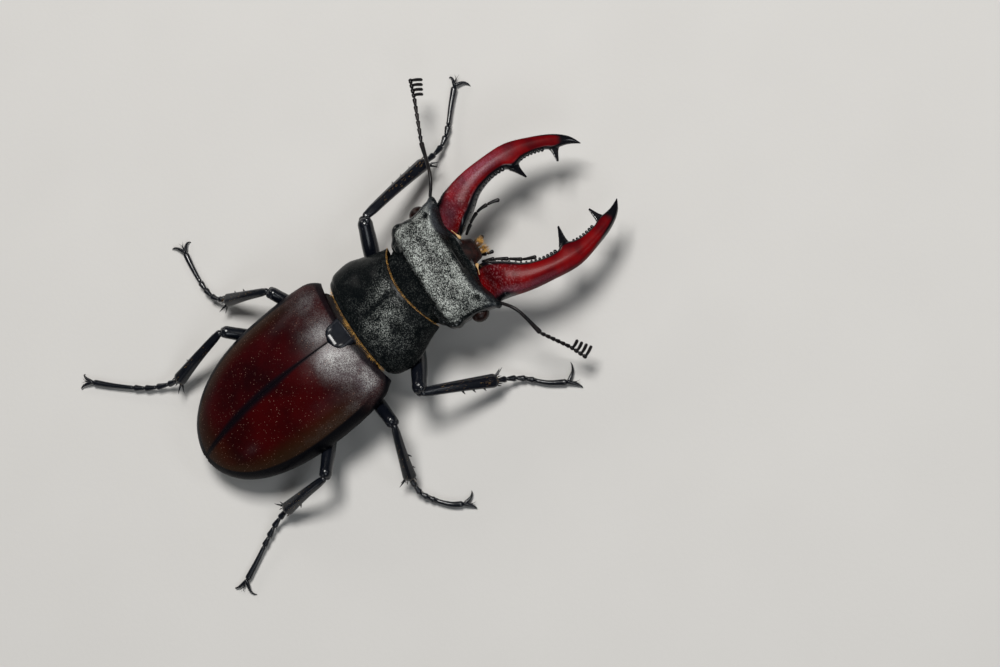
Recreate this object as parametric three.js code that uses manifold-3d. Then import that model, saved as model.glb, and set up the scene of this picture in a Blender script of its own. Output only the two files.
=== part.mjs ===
// A male stag beetle (Lucanus cervus) at life size, standing with its jaws open.
// Millimetres. +Z is up, the head faces -Y and the beetle's left side is +X.
// The floor is z = 0 and the origin lies under the middle of the bounding box.

import * as THREE from 'three';
import { mergeVertices } from 'three/addons/utils/BufferGeometryUtils.js';
import Module from 'manifold-3d';

const wasm = await Module();
wasm.setup();

// ---------------------------------------------------------------- driving sizes

const GAP = 0.3; // clearance between neighbouring pieces
const ORIGIN_SHIFT = new THREE.Vector3(-0.23, 0.465, 0); // centres the bounding box

// The body bends a little at the neck and at the waist.
const HEAD_TURN = THREE.MathUtils.degToRad(-1.5);
const HEAD_PIVOT = new THREE.Vector3(0, -10, 0);
const ABDOMEN_TURN = THREE.MathUtils.degToRad(2.5);
const ABDOMEN_PIVOT = new THREE.Vector3(0, 1, 0);

const ELYTRA = {
  front: 1.3, // Y of the front edge at the suture
  shoulderLead: 0.9, // how far the shoulders reach ahead of that
  length: 30.95, // Y of the hind tip
  bulgeAt: 10, // Y of the greatest width
  fullLength: 31.1,
  halfWidth: 11.1,
  shoulderHalfWidth: 9.6,
  shoulderRound: 2.6, // exponent of the outline ahead of the greatest width
  taper: 2.4, // exponent of the outline behind it
  round: 2.3, // exponents of the cross section
  crown: 0.5,
  wall: 0.8,
  seam: GAP / 2,
  across: 7, // divisions of the plate
  along: 11,
  rowSpread: 0.85, // below 1 moves the rows of the plate forward
};
const ELYTRA_TOP = [
  [1.3, 14.2], [4, 14.9], [9, 15.5], [13, 15.4], [18, 14.6], [22, 13.1], [26, 10.7], [29, 8.4], [31.1, 5.9],
];
const ELYTRA_RIM = [[0.4, 11.1], [5, 9.7], [10, 8.8], [16, 8.1], [22, 7.3], [31.1, 5.3]];

const PRONOTUM = { round: 2.2, crown: 0.7, keel: 0.6, marginThickness: 0.7, across: 12, along: 7 };
// Each row: place from front 0 to rear 1, and the size there.
const PRONOTUM_HALF_WIDTH = [[0, 7.5], [0.22, 8.1], [0.45, 9.1], [0.62, 9.75], [0.82, 9.3], [1, 8.2]];
const PRONOTUM_MARGIN_Y = [[0, -11.5], [0.22, -9.3], [0.45, -6.9], [0.62, -4.8], [0.82, -2.3], [1, -0.75]];
const PRONOTUM_MIDLINE_Y = [[0, -9.8], [0.22, -8.0], [0.45, -5.7], [0.62, -3.9], [0.82, -1.9], [1, -0.4]];
const PRONOTUM_MARGIN_Z = [[0, 12.4], [0.45, 11.2], [0.62, 10.9], [1, 11.1]];
const PRONOTUM_RISE = [[0, 3.8], [0.22, 4.9], [0.5, 5.1], [0.82, 4.4], [1, 3.6]];
const PRONOTUM_DROP = [[0, 3.2], [0.3, 4.9], [0.6, 5.6], [0.85, 4.8], [1, 3.0]];

const HEAD = { topRound: 5, floorRound: 2.4, crown: 0.6, marginThickness: 1.2, across: 12, along: 13 };
const HEAD_HALF_WIDTH = [
  [0, 8.6], [0.1, 9.7], [0.2, 9.1], [0.4, 8.8], [0.6, 9.1], [0.72, 9.1], [0.84, 8.0], [0.9, 6.6], [1, 6.2],
];
const HEAD_MIDLINE_Y = [
  [0, -21.5], [0.1, -20.4], [0.2, -19.3], [0.4, -17.2], [0.6, -15.2],
  [0.72, -14.0], [0.84, -12.9], [0.9, -11.6], [1, -8.9],
];
const HEAD_MARGIN_Y = [
  [0, -21.3], [0.1, -20.9], [0.2, -19.6], [0.4, -17.4], [0.6, -15.4],
  [0.72, -14.2], [0.84, -12.9], [0.9, -11.8], [1, -9.2],
];
const HEAD_TOP_Z = [
  [0, 12.3], [0.1, 13.6], [0.2, 15.3], [0.4, 15.5], [0.6, 15.6],
  [0.72, 15.7], [0.84, 15.1], [0.9, 14.3], [1, 14.0],
];
const HEAD_FLOOR_Z = [[0, 8.6], [0.3, 7.9], [0.7, 7.5], [1, 8.2]];
const HEAD_MARGIN_Z = [[0, 12.3], [0.1, 12.9], [0.4, 12.6], [0.72, 13.2], [0.9, 12.0], [1, 11.4]];
const WAIST = { halfWidth: 6.2, top: 13.0, floor: 6.6, front: -2.4, rear: 1.0 };

const EYE = { place: [9.5, -18.0, 12.0], half: [1.25, 1.4, 1.2] };
const LABRUM = {
  halfWidth: 1.9, front: -23.6, rear: -20.9, top: 11.6, thickness: 1.1,
  fall: 0.7, // how much lower the lip is than the root
  narrowing: 0.45, // share of the width lost at the lip
  lipRound: 1.5, // exponent of the lip's outline
  camber: 0.25,
};

// Middle line of a jaw in plan, [X, Y, Z, half width, half depth], from the base to the tip.
const JAW = [
  [5.3, -18.4, 11.2, 2.4, 1.9],
  [5.9, -21.0, 11.7, 3.15, 2.4],
  [7.1, -23.8, 12.0, 2.8, 2.35],
  [8.65, -27.0, 11.9, 2.1, 2.05],
  [9.5, -30.6, 11.55, 1.7, 1.75],
  [9.7, -34.6, 10.9, 1.7, 1.55],
  [9.1, -38.2, 10.2, 1.25, 1.3],
  [8.0, -41.4, 9.5, 1.0, 1.05],
  [6.8, -43.5, 9.0, 0.6, 0.7],
  [5.3, -44.9, 8.6, 0.0, 0.0],
];
const JAW_CLOSE = { left: THREE.MathUtils.degToRad(-0.8), right: 0 }; // each jaw opens on its own
const MAIN_TOOTH = { root: [9.0, -34.5, 10.9], tip: [4.9, -35.1, 11.9], radius: 1.35 };
const FORK_TOOTH = { root: [8.5, -41.4, 9.5], tip: [4.7, -40.5, 9.9], radius: 0.85 };
const DENTICLE = { radius: 0.42, height: 0.75, sunk: 0.55 }; // sunk is the share of the height inside the jaw
const JAW_RINGS = 15;
// Stretches of the inner edge that carry small teeth: first and last place along the jaw, and how many.
const DENTICLE_ROWS = [{ from: 0.42, to: 0.57, count: 4 }, { from: 0.69, to: 0.81, count: 4 }];

const SCUTELLUM = {
  front: 1.0, rear: 3.75, halfWidth: 1.95, top: 14.85, thickness: 0.8,
  slope: 0.19, // rise towards the rear
  straight: 0.9, // length of the straight sides ahead of the rounded point
  round: 2.4,
  camber: 0.25,
};

const THORAX_HALF_WIDTH = [[0, 7.4], [0.3, 8.9], [1, 9.5]];
const THORAX_FLOOR_Z = [[0, 5.4], [0.3, 4.0], [0.7, 3.5], [1, 3.7]];
const THORAX = { front: 0.0, rear: 11.0, ceiling: 14.1 };
const ABDOMEN = { front: 11.8, rear: 29.9, floorFront: 3.9, floorRear: 5.0, plates: 5, groove: 0.2 };
// How the trunk fits under the wing cases.
const TRUNK = {
  headroom: 0.5, sideRoom: 0.45, marginDrop: 0.55, marginThickness: 0.4, round: 2.6, keel: 0.6,
};

const ANTENNA = { scape: 0.28, scapeEnd: 0.42, bead: 0.38, neck: 0.26, club: 0.34, beads: 6, leaves: 4 };
const LEAF = { halfWidth: 0.27, halfDepth: 0.5, shortest: 1.5, longest: 2.05 };
const ANTENNAE = {
  left: {
    base: [10.0, -21.3, 12.2], bend: [12.5, -23.1, 12.5], elbow: [18.5, -24.9, 11.2],
    wrist: [25.5, -27.7, 9.6], tip: [28.7, -28.8, 9.0], leaf: [-0.6, -0.8, 0],
  },
  right: {
    base: [-9.4, -20.8, 12.2], bend: [-12.3, -22.7, 12.5], elbow: [-17.3, -23.7, 11.2],
    wrist: [-20.6, -25.8, 6.8], tip: [-23.3, -26.9, 5.6], leaf: [0.5, -0.86, 0.1],
  },
};

const PALP = { thick: 0.36, thin: 0.27 };
const PALPS = {
  palp_maxillary_left: [
    [2.9, -22.3, 8.4], [4.2, -24.4, 8.8], [4.8, -26.1, 9.0], [4.7, -28.4, 8.9], [4.3, -29.8, 8.7],
  ],
  palp_maxillary_right: [
    [-1.9, -22.0, 8.2], [-2.6, -23.6, 8.2], [-4.1, -25.8, 8.1], [-5.4, -27.5, 8.1], [-6.4, -29.5, 8.2],
  ],
  palp_labial_left: [[0.9, -22.9, 8.3], [1.3, -24.2, 8.3], [1.2, -25.6, 8.0]],
  palp_labial_right: [[-0.9, -22.9, 8.3], [-1.4, -24.1, 8.3], [-1.6, -25.5, 8.0]],
};

// The joints of each leg: knee, ankle, the bends of the foot and, in plan, the two claw tips.
const LEGS = {
  front_left: {
    side: 1, kind: 'front', knee: [14.0, -10.9, 11.0], ankle: [17.8, -23.3, 3.9],
    foot: [[18.9, -26.0, 2.0], [20.4, -28.0, 1.3], [24.0, -31.2, 0.95], [26.2, -33.3, 0.9]],
    claws: [[28.1, -33.3], [24.9, -35.4]],
  },
  front_right: {
    side: -1, kind: 'front', knee: [-13.9, -3.2, 11.0], ankle: [-17.7, -13.5, 3.7],
    foot: [[-18.4, -15.3, 2.1], [-19.3, -16.7, 1.3], [-21.9, -19.3, 0.95], [-23.6, -21.9, 0.9]],
    claws: [[-21.1, -24.0], [-25.6, -23.3]],
  },
  middle_left: {
    side: 1, kind: 'middle', knee: [14.0, 8.2, 9.2], ankle: [18.8, 15.9, 2.9],
    foot: [[20.9, 17.5, 1.8], [23.3, 18.0, 1.3], [27.4, 17.9, 0.95], [30.0, 17.6, 0.9]],
    claws: [[32.0, 19.3], [31.2, 16.0]],
  },
  middle_right: {
    side: -1, kind: 'middle', knee: [-15.5, 2.9, 10.6], ankle: [-22.4, 6.7, 2.9],
    foot: [[-24.6, 6.7, 1.8], [-26.1, 6.0, 1.3], [-28.8, 3.8, 0.95], [-29.9, 2.1, 0.9]],
    claws: [[-28.7, 0.0], [-31.6, 0.9]],
  },
  hind_left: {
    side: 1, kind: 'hind', knee: [13.4, 18.1, 8.5], ankle: [12.5, 29.5, 2.9],
    foot: [[13.6, 31.6, 1.8], [15.1, 34.5, 1.3], [18.7, 38.9, 0.95], [21.4, 41.7, 0.9]],
    claws: [[23.6, 42.3], [21.7, 44.1]],
  },
  hind_right: {
    side: -1, kind: 'hind', knee: [-15.8, 16.6, 9.4], ankle: [-14.8, 26.0, 2.9],
    foot: [[-15.4, 28.6, 1.8], [-16.7, 31.4, 1.3], [-18.5, 34.8, 0.95], [-19.9, 37.5, 0.9]],
    claws: [[-19.6, 40.0], [-22.6, 37.6]],
  },
};
// Where a leg leaves the body, and how thick it is, for the left side.
const LEG_KINDS = {
  front: {
    coxa: [[1.3, -4.6, 5.7], [5.3, -6.0, 6.0]], coxaRadius: 1.5, root: [5.9, -6.6, 5.9],
    femur: 1.3, tibia: 0.72, flare: 0.98, spines: 3,
  },
  middle: {
    coxa: [[2.2, 3.2, 4.3], [5.2, 3.8, 4.6]], coxaRadius: 1.4, root: [5.9, 4.3, 4.5],
    femur: 0.92, tibia: 0.58, flare: 0.85, spines: 2,
  },
  hind: {
    coxa: [[1.3, 9.6, 4.1], [6.0, 10.4, 4.3]], coxaRadius: 1.25, root: [6.8, 10.9, 4.0],
    femur: 0.92, tibia: 0.6, flare: 0.9, spines: 1,
  },
};
// Shares of the thickness in LEG_KINDS; the swelling is a stretch of a sine, even beyond `straight`.
const FEMUR = { root: 0.72, swell: 0.28, depth: 1.12, straight: 0.8, turn: Math.PI * 0.75 };
const TIBIA = { depth: 0.85, bow: 0.35 };
const SPINE = { length: 1.0, radius: 0.3, first: 0.45, stretch: 0.4, lean: 0.4 };
const SPUR = { length: 2.3, radius: 0.3, sunk: 0.9, inset: 0.35, spread: 0.45, turn: 0.9, fan: 0.25 };
const FOOT = {
  joints: [0, 0.16, 0.3, 0.43, 0.55, 1], // where the segments meet, from the ankle to the claws
  narrow: 0.3, wide: 0.46, depth: 0.9, pinch: 0.012, sunk: 0.5,
};
const CLAW = { radius: 0.3, bow: 0.38, lift: 0.55, tipZ: -0.06, heel: [0.34, 0.34, 0.36], reach: 0.55 };
// Rings of a claw: place along it, and the shares of its radius.
const CLAW_RINGS = [[0, 0, 0], [0.12, 1, 1], [0.55, 0.85, 0.95], [0.85, 0.55, 0.75], [1, 0, 0]];

const UP = new THREE.Vector3(0, 0, 1);

// ---------------------------------------------------------------- finishes

const finish = (color, roughness) => new THREE.MeshStandardMaterial({ color, roughness, metalness: 0 });
const FINISH = {
  granular: () => finish(0x16191a, 0.5),
  wing: () => finish(0x3a0506, 0.28),
  jaw: () => finish(0x7a0608, 0.2),
  leg: () => finish(0x0b0a0d, 0.24),
  belly: () => finish(0x120d0c, 0.4),
  eye: () => finish(0x2a0f0a, 0.12),
  lip: () => finish(0x33110c, 0.35),
  shield: () => finish(0x0a0d14, 0.12),
};

// ---------------------------------------------------------------- shape helpers

const vector = (values) => new THREE.Vector3(...values);

/** A smooth function through rows of [place, value]. */
function track(rows) {
  const places = rows.map((row) => row[0]);
  const values = rows.map((row) => row[1]);
  const smooth = new THREE.CubicInterpolant(places, values, 1);
  return (place) => smooth.evaluate(THREE.MathUtils.clamp(place, places[0], places.at(-1)))[0];
}

/** A manifold solid from a three.js geometry. */
function solidOf(geometry) {
  geometry.deleteAttribute('normal');
  geometry.deleteAttribute('uv');
  const merged = mergeVertices(geometry, 1e-4);
  return new wasm.Manifold(new wasm.Mesh({
    numProp: 3,
    vertProperties: new Float32Array(merged.attributes.position.array),
    triVerts: new Uint32Array(merged.index.array),
  }));
}

const joined = (solids) => solids.reduce((whole, piece) => whole.add(piece));
const without = (solid, cutters) => cutters.reduce((left, cutter) => left.subtract(cutter), solid);

/** Moves every vertex of a geometry to where `place` puts it. */
function warped(geometry, place) {
  const position = geometry.attributes.position;
  const point = new THREE.Vector3();
  for (let index = 0; index < position.count; index += 1) {
    point.fromBufferAttribute(position, index);
    const moved = place(point);
    position.setXYZ(index, moved.x, moved.y, moved.z);
  }
  return geometry;
}

/** A plate between two surfaces: `surface(u, v, isTop)` with u from -1 to 1 and v from 0 to 1. */
function plate(across, along, surface) {
  const block = new THREE.BoxGeometry(2, 1, 1, across, along, 1);
  return solidOf(warped(block, (point) => surface(point.x, point.y + 0.5, point.z > 0)));
}

/** A body drawn along a curve. Each ring is [place along the curve, half width, half depth]. */
function drawn(curve, rings, sides, grow = 0) {
  const last = rings.length - 1;
  const ball = new THREE.SphereGeometry(1, sides, last);
  return solidOf(warped(ball, (point) => {
    const ring = Math.round((Math.acos(THREE.MathUtils.clamp(point.y, -1, 1)) / Math.PI) * last);
    const [place, halfWidth, halfDepth] = rings[ring];
    const along = curve.getTangentAt(place);
    const across = UP.clone().cross(along).normalize();
    const over = along.clone().cross(across);
    const centre = curve.getPointAt(place);
    if (ring === 0) return centre.addScaledVector(along, -grow);
    if (ring === last) return centre.addScaledVector(along, grow);
    const reach = Math.hypot(point.x, point.z);
    centre.addScaledVector(across, (point.x / reach) * (halfWidth + grow));
    return centre.addScaledVector(over, (point.z / reach) * (halfDepth + grow));
  }));
}

/** Rings for a body with round ends, closer together towards them. */
function roundedRings(length, count, shape) {
  return Array.from({ length: count + 1 }, (_, index) => {
    const place = (1 - Math.cos((Math.PI * index) / count)) / 2;
    const [halfWidth, halfDepth] = shape(place);
    const fromEnd = Math.min(place, 1 - place) * length;
    const cap = fromEnd < halfWidth ? Math.sqrt(1 - (1 - fromEnd / halfWidth) ** 2) : 1;
    return [place, halfWidth * cap, halfDepth * cap];
  });
}

/** A straight or bent rod with round ends. */
function rod(points, shape, { count = 7, sides = 8, grow = 0 } = {}) {
  const curve = new THREE.CatmullRomCurve3(points.map(vector), false, 'centripetal');
  return drawn(curve, roundedRings(curve.getLength(), count, shape), sides, grow);
}

/** A cone from the middle of its base to its tip. */
function spike(base, tip, radius, sides = 5) {
  const axis = tip.clone().sub(base);
  const cone = new THREE.ConeGeometry(radius, axis.length(), sides);
  cone.translate(0, axis.length() / 2, 0);
  const upright = new THREE.Vector3(0, 1, 0);
  cone.applyQuaternion(new THREE.Quaternion().setFromUnitVectors(upright, axis.normalize()));
  cone.translate(base.x, base.y, base.z);
  return solidOf(cone);
}

/** An ellipsoid. */
function ellipsoid(place, half, sides, rows, grow = 0) {
  const ball = new THREE.SphereGeometry(1, sides, rows);
  ball.scale(half[0] + grow, half[1] + grow, half[2] + grow);
  ball.translate(...place);
  return solidOf(ball);
}

/** A block between two corners. */
function block(low, high) {
  const size = vector(high).sub(vector(low));
  const box = new THREE.BoxGeometry(size.x, size.y, size.z);
  box.translate(low[0] + size.x / 2, low[1] + size.y / 2, low[2] + size.z / 2);
  return solidOf(box);
}

/** Turns a solid about an upright line through a pivot. */
const turned = (solid, angle, pivot) => solid
  .translate([-pivot.x, -pivot.y, 0])
  .rotate([0, 0, THREE.MathUtils.radToDeg(angle)])
  .translate([pivot.x, pivot.y, 0]);

const inHead = (solid) => turned(solid, HEAD_TURN, HEAD_PIVOT);
const inAbdomen = (solid) => turned(solid, ABDOMEN_TURN, ABDOMEN_PIVOT);
const mirroredX = (values, side) => [values[0] * side, values[1], values[2]];
/** A place on one side of the head, turned with it. */
const onHead = (values, side) => vector(mirroredX(values, side))
  .sub(HEAD_PIVOT)
  .applyAxisAngle(UP, HEAD_TURN)
  .add(HEAD_PIVOT)
  .toArray();
/** Height of a rounded section at a share of the half width. */
const arch = (share, round, power) => Math.max(1 - Math.abs(share) ** round, 0) ** power;

// ---------------------------------------------------------------- wing cases

const elytraTop = track(ELYTRA_TOP);
const elytraRim = track(ELYTRA_RIM);

function elytraHalfWidth(y) {
  const behind = THREE.MathUtils.clamp((y - ELYTRA.bulgeAt) / (ELYTRA.fullLength - ELYTRA.bulgeAt), 0, 1);
  const ahead = THREE.MathUtils.clamp((ELYTRA.bulgeAt - y) / ELYTRA.bulgeAt, 0, 1);
  const narrowing = (ELYTRA.halfWidth - ELYTRA.shoulderHalfWidth) * ahead ** ELYTRA.shoulderRound;
  return ELYTRA.halfWidth * Math.sqrt(1 - behind ** ELYTRA.taper) - narrowing;
}

/** Height of the wing cases' outer face, or of a face that lies `inset` inside it. */
function elytraHeight(x, y, inset) {
  const share = Math.abs(x) / Math.max(elytraHalfWidth(y) - inset, 0.1);
  const rise = elytraTop(y) - inset - elytraRim(y);
  return elytraRim(y) + rise * arch(Math.min(share, 1), ELYTRA.round, ELYTRA.crown);
}

function elytron(side) {
  return plate(ELYTRA.across, ELYTRA.along, (u, v, isTop) => {
    const share = Math.sin((((1 + u * side) / 2) * Math.PI) / 2);
    const inset = isTop ? 0 : ELYTRA.wall;
    const behind = Math.sin((v * Math.PI) / 2) ** ELYTRA.rowSpread;
    const y = ELYTRA.front + (ELYTRA.length - inset * v - ELYTRA.front) * behind;
    const reach = Math.max(elytraHalfWidth(y) - inset, ELYTRA.seam + GAP);
    const x = ELYTRA.seam + (reach - ELYTRA.seam) * share;
    const z = share > 0.999 ? elytraRim(y) : elytraHeight(x, y, inset);
    return new THREE.Vector3(x * side, y - ELYTRA.shoulderLead * share * (1 - v) ** 2, z);
  });
}

function scutellum(grow = 0) {
  const { front, rear, halfWidth, top, thickness, slope, straight, round, camber } = SCUTELLUM;
  const pointFront = front + straight;
  return plate(6, 4, (u, v, isTop) => {
    const y = front - grow + (rear - front + 2 * grow) * v;
    const back = Math.max((y - pointFront) / (rear + grow - pointFront), 0);
    const half = Math.max((halfWidth + grow) * arch(back, round, 0.5), GAP);
    const height = top - slope * (rear - y) - camber * u * u;
    return new THREE.Vector3(u * half, y, isTop ? height + 3 * grow : height - thickness - 3 * grow);
  });
}

// ---------------------------------------------------------------- pronotum

const pronotumHalfWidth = track(PRONOTUM_HALF_WIDTH);
const pronotumMarginY = track(PRONOTUM_MARGIN_Y);
const pronotumMidlineY = track(PRONOTUM_MIDLINE_Y);
const pronotumMarginZ = track(PRONOTUM_MARGIN_Z);
const pronotumRise = track(PRONOTUM_RISE);
const pronotumDrop = track(PRONOTUM_DROP);

function prothorax() {
  return plate(PRONOTUM.across, PRONOTUM.along, (u, v, isTop) => {
    const share = Math.sin((u * Math.PI) / 2);
    const x = pronotumHalfWidth(v) * share;
    const y = THREE.MathUtils.lerp(pronotumMidlineY(v), pronotumMarginY(v), share ** 2);
    const rise = pronotumRise(v) * arch(share, PRONOTUM.round, PRONOTUM.crown);
    const drop = pronotumDrop(v) * arch(share, PRONOTUM.round, PRONOTUM.keel);
    return new THREE.Vector3(x, y, pronotumMarginZ(v) + (isTop ? rise : -PRONOTUM.marginThickness - drop));
  });
}

/** A flattened rod along Y, for the neck and the waist. */
function collar({ halfWidth, top, floor, front, rear }, grow = 0) {
  const middle = (top + floor) / 2;
  const shape = () => [halfWidth, (top - floor) / 2];
  return rod([[0, front, middle], [0, rear, middle]], shape, { count: 4, sides: 10, grow });
}

// ---------------------------------------------------------------- head

const headHalfWidth = track(HEAD_HALF_WIDTH);
const headMidlineY = track(HEAD_MIDLINE_Y);
const headMarginY = track(HEAD_MARGIN_Y);
const headTopZ = track(HEAD_TOP_Z);
const headFloorZ = track(HEAD_FLOOR_Z);
const headMarginZ = track(HEAD_MARGIN_Z);

function skull(grow = 0) {
  return plate(HEAD.across, HEAD.along, (u, v, isTop) => {
    const share = Math.sin((u * Math.PI) / 2);
    const x = (headHalfWidth(v) + grow) * share;
    const y = THREE.MathUtils.lerp(headMidlineY(v), headMarginY(v), share ** 2) + (v === 1 ? 2 * grow : 0);
    const margin = headMarginZ(v);
    const keel = margin - HEAD.marginThickness;
    const top = margin + (headTopZ(v) - margin) * arch(share, HEAD.topRound, HEAD.crown) + grow;
    const floor = keel - (keel - headFloorZ(v)) * arch(share, HEAD.floorRound, HEAD.crown) - grow;
    return new THREE.Vector3(x, y, isTop ? top : floor);
  });
}

function labrum(grow = 0) {
  const { halfWidth, front, rear, top, thickness, fall, narrowing, lipRound, camber } = LABRUM;
  return plate(4, 3, (u, v, isTop) => {
    const ahead = 1 - v;
    const half = halfWidth * (1 - narrowing * ahead ** lipRound) + grow;
    const y = front + (rear - front) * v + narrowing * Math.abs(u) ** lipRound * ahead;
    const height = top - fall * ahead - camber * u * u;
    const z = isTop ? height + grow : height - thickness - grow;
    return new THREE.Vector3(u * half, y + grow * (v - ahead), z);
  });
}

const eye = (side, grow = 0) => ellipsoid(mirroredX(EYE.place, side), EYE.half, 10, 7, grow);

// ---------------------------------------------------------------- jaws

function jawCurve(side) {
  const points = JAW.map(([x, y, z]) => new THREE.Vector3(x * side, y, z));
  return new THREE.CatmullRomCurve3(points, false, 'centripetal');
}

/** Turns a jaw about its hinge in the head, and then with the head. */
function jawSet(name, side, solid) {
  const hinge = vector(mirroredX(JAW[0], side));
  return inHead(turned(solid, JAW_CLOSE[name], hinge));
}

/** Where each row of JAW lies along the jaw, from 0 to 1. */
const STEPS_PER_ROW = 50;
const jawLengths = jawCurve(1).getLengths(STEPS_PER_ROW * (JAW.length - 1));
const jawPlaces = JAW.map((_, index) => jawLengths[STEPS_PER_ROW * index] / jawLengths.at(-1));
const jawHalfWidth = track(JAW.map((row, index) => [jawPlaces[index], row[3]]));
const jawHalfDepth = track(JAW.map((row, index) => [jawPlaces[index], row[4]]));

function jawBody(side, grow = 0) {
  const rings = Array.from({ length: JAW_RINGS + 1 }, (_, index) => {
    const place = index / JAW_RINGS;
    return [place, jawHalfWidth(place), jawHalfDepth(place)];
  });
  return drawn(jawCurve(side), rings, 8, grow);
}

/** Small teeth that stand on the inner edge of the jaw. */
function denticles(side) {
  const curve = jawCurve(side);
  return DENTICLE_ROWS.flatMap(({ from, to, count }) => Array.from({ length: count }, (_, index) => {
    const place = THREE.MathUtils.lerp(from, to, index / (count - 1));
    const inward = UP.clone().cross(curve.getTangentAt(place)).normalize().multiplyScalar(-side);
    const depth = jawHalfWidth(place) - DENTICLE.height * DENTICLE.sunk;
    const root = curve.getPointAt(place).addScaledVector(inward, depth);
    return spike(root, root.clone().addScaledVector(inward, DENTICLE.height), DENTICLE.radius);
  }));
}

function jaw(side) {
  const tooth = ({ root, tip, radius }) => (
    spike(vector(mirroredX(root, side)), vector(mirroredX(tip, side)), radius, 7)
  );
  return joined([jawBody(side), tooth(MAIN_TOOTH), tooth(FORK_TOOTH), ...denticles(side)]);
}

// ---------------------------------------------------------------- feelers

const scapeRod = (points, grow = 0) => (
  rod(points, (place) => {
    const half = ANTENNA.scape + (ANTENNA.scapeEnd - ANTENNA.scape) * place ** 3;
    return [half, half];
  }, { count: 5, sides: 6, grow })
);

function funicle(from, to) {
  const curve = new THREE.LineCurve3(from, to);
  const rings = [[0, 0, 0]];
  for (let bead = 0; bead < ANTENNA.beads; bead += 1) {
    rings.push([(bead + 0.1) / ANTENNA.beads, ANTENNA.neck, ANTENNA.neck]);
    rings.push([(bead + 0.8) / ANTENNA.beads, ANTENNA.bead, ANTENNA.bead]);
  }
  rings.push([1, 0, 0]);
  return drawn(curve, rings, 5);
}

/** The comb at the tip: a stem with flat leaves to one side, longest at the end. */
function club(from, to, leaf) {
  const stemShape = () => [ANTENNA.club, ANTENNA.club];
  const leafShape = () => [LEAF.halfWidth, LEAF.halfDepth];
  const stem = rod([from.toArray(), to.toArray()], stemShape, { count: 4, sides: 5 });
  const leaves = Array.from({ length: ANTENNA.leaves }, (_, index) => {
    const share = (index + 0.6) / ANTENNA.leaves;
    const root = from.clone().lerp(to, share);
    const tip = root.clone().addScaledVector(leaf, THREE.MathUtils.lerp(LEAF.shortest, LEAF.longest, share));
    return rod([root.toArray(), tip.toArray()], leafShape, { count: 3, sides: 5 });
  });
  return joined([stem, ...leaves]);
}

function palp(points) {
  return rod(points, (place) => {
    const half = PALP.thin + (PALP.thick - PALP.thin) * Math.sin(place * Math.PI * (points.length - 1)) ** 2;
    return [half, half];
  }, { count: 7, sides: 5 });
}

// ---------------------------------------------------------------- trunk

const thoraxHalfWidth = track(THORAX_HALF_WIDTH);
const thoraxFloorZ = track(THORAX_FLOOR_Z);

/** Height of the body under the wing cases, clear of their inner face. */
const underWings = (x, y) => elytraHeight(x, y, ELYTRA.wall + TRUNK.headroom - 0.1) - 0.1;
const trunkReach = (y) => elytraHalfWidth(y) - ELYTRA.wall - TRUNK.sideRoom;

/** Height of the belly, which rounds up from `lowest` to the margin. */
function bellyHeight(share, margin, lowest) {
  const keel = margin - TRUNK.marginThickness;
  return keel - (keel - lowest) * arch(share, TRUNK.round, TRUNK.keel);
}

function thorax() {
  return plate(8, 5, (u, v, isTop) => {
    const share = Math.sin((u * Math.PI) / 2);
    const y = THREE.MathUtils.lerp(THORAX.front, THORAX.rear, v);
    const x = Math.min(thoraxHalfWidth(v), trunkReach(y)) * share;
    const margin = elytraRim(y) - TRUNK.marginDrop;
    const top = Math.max(Math.min(underWings(x, y), THORAX.ceiling), margin + GAP);
    return new THREE.Vector3(x, y, isTop ? top : bellyHeight(share, margin, thoraxFloorZ(v)));
  });
}

function abdomen() {
  return plate(8, 10, (u, v, isTop) => {
    const share = Math.sin((u * Math.PI) / 2);
    const y = THREE.MathUtils.lerp(ABDOMEN.front, ABDOMEN.rear, Math.sin((v * Math.PI) / 2));
    const x = Math.max(trunkReach(y), GAP) * share;
    const margin = elytraRim(y) - TRUNK.marginDrop;
    const top = Math.max(underWings(x, y), margin + GAP);
    const groove = v > 0 && v < 1 ? ABDOMEN.groove * Math.cos(v * 2 * Math.PI * ABDOMEN.plates) : 0;
    const lowest = THREE.MathUtils.lerp(ABDOMEN.floorFront, ABDOMEN.floorRear, v ** 2) + groove;
    return new THREE.Vector3(x, y, isTop ? top : bellyHeight(share, margin, lowest));
  });
}

// ---------------------------------------------------------------- legs

const BELOW_FLOOR = block([-60, -60, -5], [60, 60, 0]);

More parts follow.
